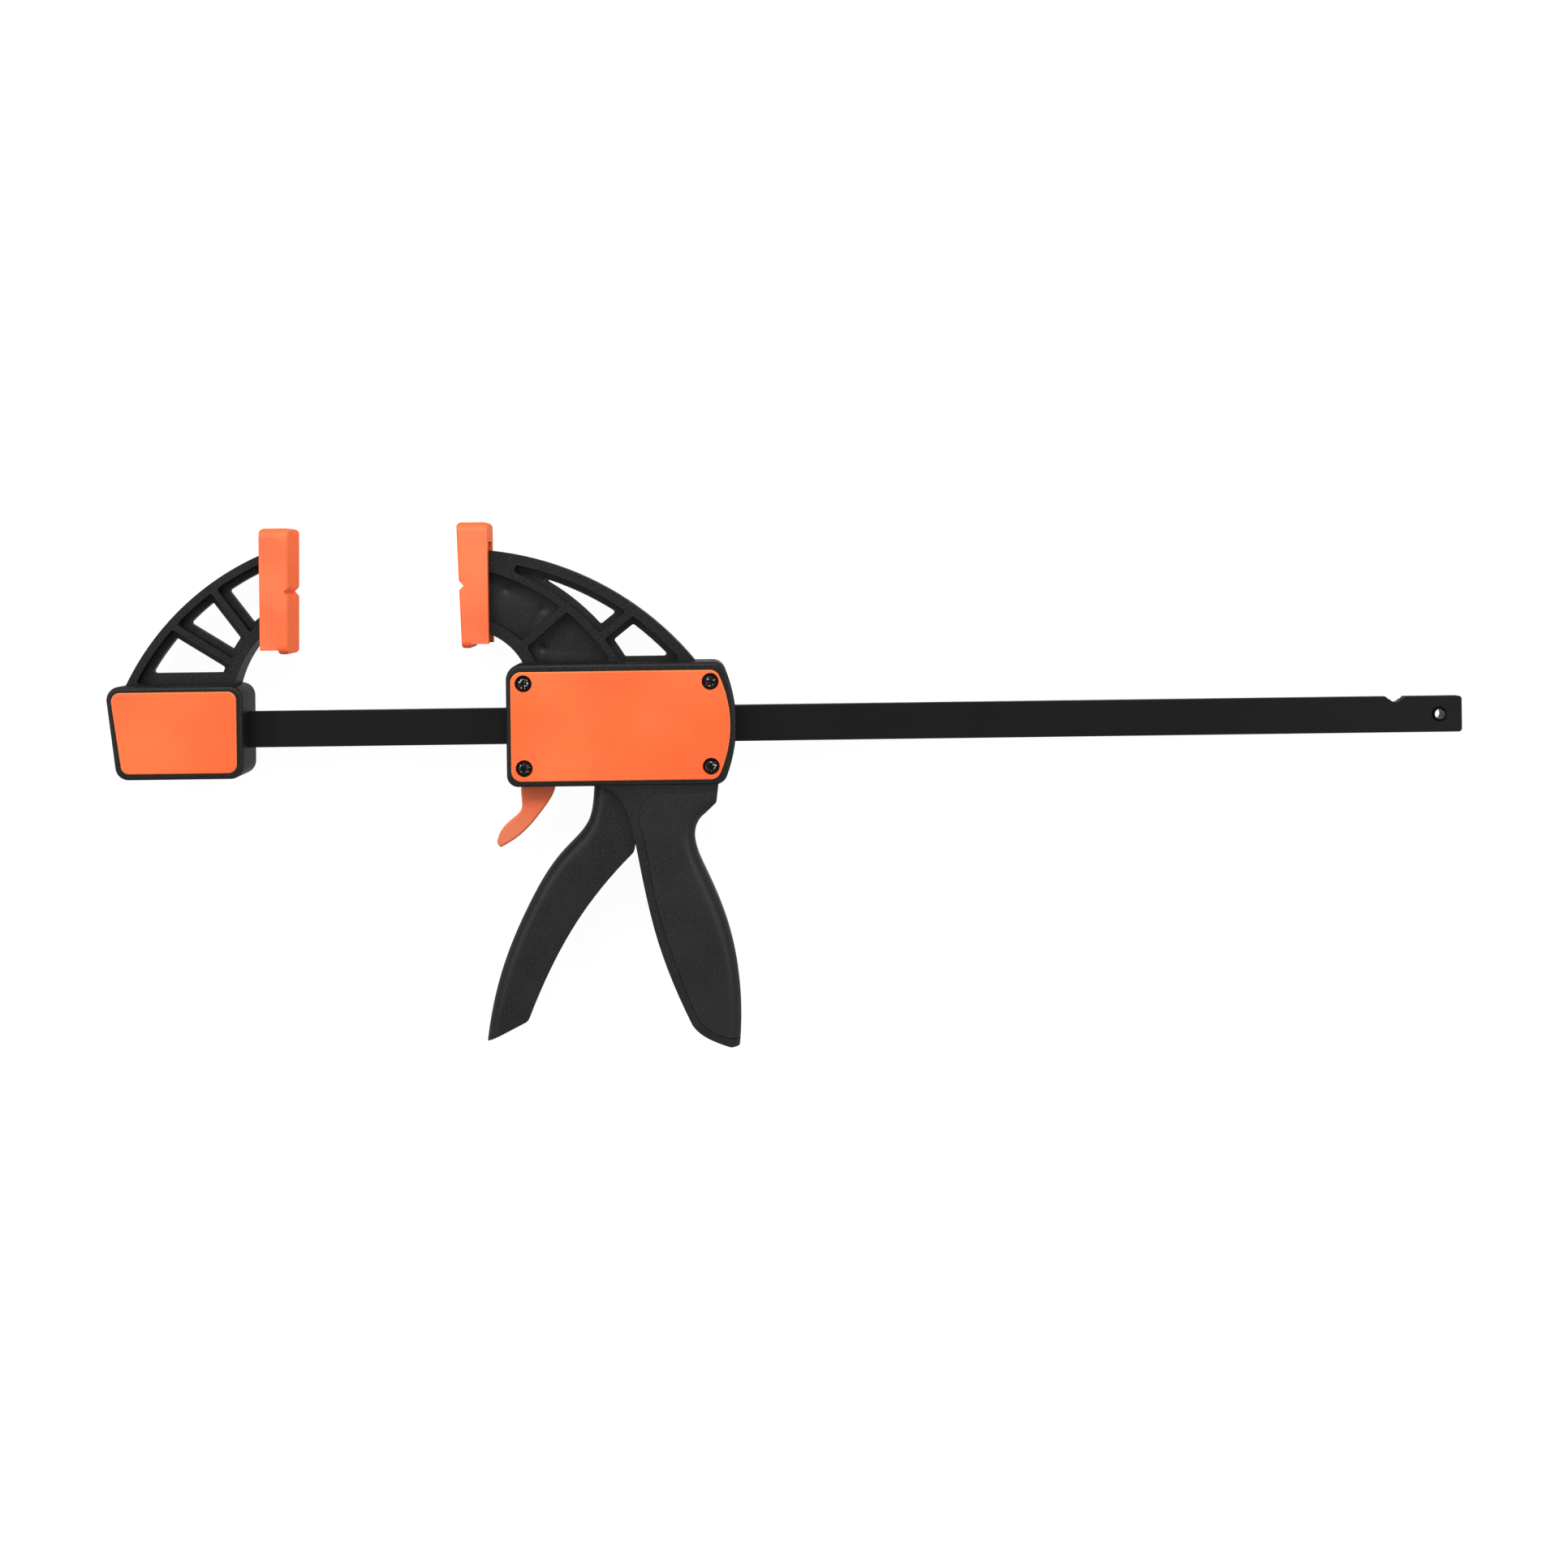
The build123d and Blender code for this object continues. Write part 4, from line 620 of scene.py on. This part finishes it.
def screw(sizes, length_below):
    """Screw head and shank turned about Z, with a cross recess sunk into the dome.
    The profile runs r(s), z(s) from the top's middle out over dome and flange and down the shank; the
    recess lowers z by its depth times a soft step across each arm and along it, deeper to the middle."""
    dome, flange = sizes.dome_radius, sizes.flange_radius
    shank, tip, taper = 1.73 * MM, 0.9 * MM, 1.0 * MM
    over = np.linspace(0.0, 1.0, 46)
    top = np.stack([dome * over, DOME_FOOT + DOME_RISE * np.sqrt(np.clip(1 - 0.86 * over ** 2.6, 0, 1))],
                   axis=-1)
    side = np.array([
        (dome, 0.95 * MM), (dome + 0.12 * MM, 0.83 * MM), (flange - 0.25 * MM, 0.76 * MM),
        (flange - 0.05 * MM, 0.66 * MM), (flange, 0.4 * MM), (flange - 0.1 * MM, 0.0), (shank, 0.0),
        (shank, taper - length_below), (tip, -length_below), (0.0, -length_below),
    ])
    profile = np.concatenate([top, side])
    corners = 96
    turn = np.linspace(0.0, 2 * math.pi, corners, endpoint=False)
    x = profile[:, :1] * np.cos(turn)
    y = profile[:, :1] * np.sin(turn)
    z = np.broadcast_to(profile[:, 1:], x.shape).copy()
    arm_half, arm_step = 0.52 * MM, 0.16 * MM
    arm_reach, run_out = 1.9 * MM, 1.1 * MM
    across = np.clip((arm_half - np.minimum(np.abs(x), np.abs(y))) / arm_step, 0, 1)
    along = np.clip((arm_reach - np.maximum(np.abs(x), np.abs(y))) / run_out, 0, 1)
    cut = sizes.cross_depth * across * along
    cut[len(over):] = 0.0
    points = np.stack([x, y, z - cut], axis=-1).reshape(-1, 3)
    return points, ring_faces(len(profile), corners)


# Each lamp's name, its place, the point that it faces, its width and length in metres, and its watts.
LAMPS = (
    ("Lamp_above", (-0.2, 0.55, 0.6), (-0.1, 0.0, 0.0), 0.2, 0.8, 4.6),
    ("Lamp_left", (-1.05, 0.3, 0.65), (-0.15, 0.0, 0.0), 0.12, 0.9, 4.4),
    ("Lamp_right", (0.85, 0.2, 0.65), (0.0, 0.0, 0.0), 0.12, 0.9, 4.4),
    ("Lamp_front", (0.0, -1.0, 0.9), (-0.05, 0.0, 0.0), 0.9, 0.5, 0.8),
)


class CLAMP_OT_stage(bpy.types.Operator):
    """Floor, lamps and camera"""

    bl_idname = "clamp.stage"
    bl_label = "Stage"

    def execute(self, context):
        colours = context.scene.clamp_colours
        make_floor(tuple(colours.paper))
        make_world(tuple(colours.paper))
        for settings in LAMPS:
            lamp(*settings)
        camera = bpy.data.cameras.new("Camera")
        camera.lens = 43.98
        camera.sensor_width = 36.0
        camera.shift_x = 0.06
        camera.shift_y = -0.138
        camera.clip_start = 0.01
        camera.clip_end = 50.0
        holder = bpy.data.objects.new("Camera", camera)
        holder.location = (-0.0506, 0.1129, 1.032)
        holder.rotation_euler = (0.0, 0.0, -math.radians(0.756))
        context.scene.collection.objects.link(holder)
        context.scene.camera = holder
        context.scene.view_settings.view_transform = "Standard"
        return {"FINISHED"}


def seen_directly(tree):
    """1 for rays from the camera, from gloss and through glass, and 0 for rays that carry light."""
    path = add(tree, "ShaderNodeLightPath")
    either = maths(tree, "MAXIMUM", path.outputs["Is Camera Ray"], path.outputs["Is Glossy Ray"])
    return maths(tree, "MAXIMUM", either, path.outputs["Is Transmission Ray"])


def make_floor(paper):
    """Wide white sheet under the clamp. It shows white itself and keeps a soft shadow."""
    reach, sunk = 6.0, 0.3 * MM
    corners = [(reach * x, reach * y, -sunk) for x, y in ((-1, -1), (1, -1), (1, 1), (-1, 1))]
    floor = put_mesh("floor", corners, [[0, 1, 2, 3]])
    found, tree = bare_material("Matt_white_paper")
    matt = add(tree, "ShaderNodeBsdfDiffuse", {"Color": scaled(paper, 0.86)})
    glow = add(tree, "ShaderNodeEmission", {"Color": paper, "Strength": 1.07})
    amount = maths(tree, "MULTIPLY", seen_directly(tree), 0.9)
    both = add(tree, "ShaderNodeMixShader", {0: amount, 1: matt.outputs[0], 2: glow.outputs[0]})
    add(tree, "ShaderNodeOutputMaterial", {"Surface": both.outputs[0]})
    floor.data.materials.append(found)


def make_world(paper):
    """Even pale surroundings, seen as white."""
    world = bpy.data.worlds.new("Surroundings")
    bpy.context.scene.world = world
    world.use_nodes = True
    tree = world.node_tree
    tree.nodes.clear()
    dim = add(tree, "ShaderNodeBackground", {"Color": paper, "Strength": 0.28})
    white = add(tree, "ShaderNodeBackground", {"Color": paper, "Strength": 1.0})
    both = add(tree, "ShaderNodeMixShader", {0: seen_directly(tree), 1: dim.outputs[0],
                                             2: white.outputs[0]})
    add(tree, "ShaderNodeOutputWorld", {"Surface": both.outputs[0]})


def lamp(name, place, target, width, length_across, power):
    """Soft rectangular lamp that faces a point."""
    light = bpy.data.lights.new(name, "AREA")
    light.shape = "RECTANGLE"
    light.size = width
    light.size_y = length_across
    light.energy = power
    holder = bpy.data.objects.new(name, light)
    away = np.array(place) - np.array(target)
    spin = math.atan2(away[1], away[0])
    lean = math.atan2(math.hypot(away[0], away[1]), away[2])
    holder.rotation_euler = (0.0, lean, spin)
    holder.location = place
    holder.visible_camera = False
    bpy.context.scene.collection.objects.link(holder)


class CLAMP_PT_panel(bpy.types.Panel):
    """Lists the clamp's steps, sizes and colours"""

    bl_idname = "CLAMP_PT_panel"
    bl_label = "Bar clamp"
    bl_space_type = "VIEW_3D"
    bl_region_type = "UI"
    bl_category = "Clamp"

    def draw(self, context):
        for operator in OPERATORS:
            self.layout.operator(operator.bl_idname)
        for group in (context.scene.clamp_sizes, context.scene.clamp_colours):
            column = self.layout.column()
            for key in group.__annotations__:
                column.prop(group, key)


# In the order in which main() runs them.
OPERATORS = (CLAMP_OT_finishes, CLAMP_OT_stage, CLAMP_OT_bar, CLAMP_OT_fixed_jaw, CLAMP_OT_sliding_jaw,
             CLAMP_OT_pads, CLAMP_OT_levers, CLAMP_OT_mechanism, CLAMP_OT_screws)
CLASSES = (ClampSizes, ClampColours, *OPERATORS, CLAMP_PT_panel)


def register():
    for each in CLASSES:
        bpy.utils.register_class(each)
    bpy.types.Scene.clamp_sizes = bpy.props.PointerProperty(type=ClampSizes)
    bpy.types.Scene.clamp_colours = bpy.props.PointerProperty(type=ClampColours)


def unregister():
    del bpy.types.Scene.clamp_colours
    del bpy.types.Scene.clamp_sizes
    for each in reversed(CLASSES):
        bpy.utils.unregister_class(each)


def main():
    register()
    bpy.ops.clamp.finishes()
    bpy.ops.clamp.stage()
    bpy.ops.clamp.bar()
    bpy.ops.clamp.fixed_jaw()
    bpy.ops.clamp.sliding_jaw()
    bpy.ops.clamp.pads()
    bpy.ops.clamp.levers()
    bpy.ops.clamp.mechanism()
    bpy.ops.clamp.screws()


if __name__ == "__main__":
    main()
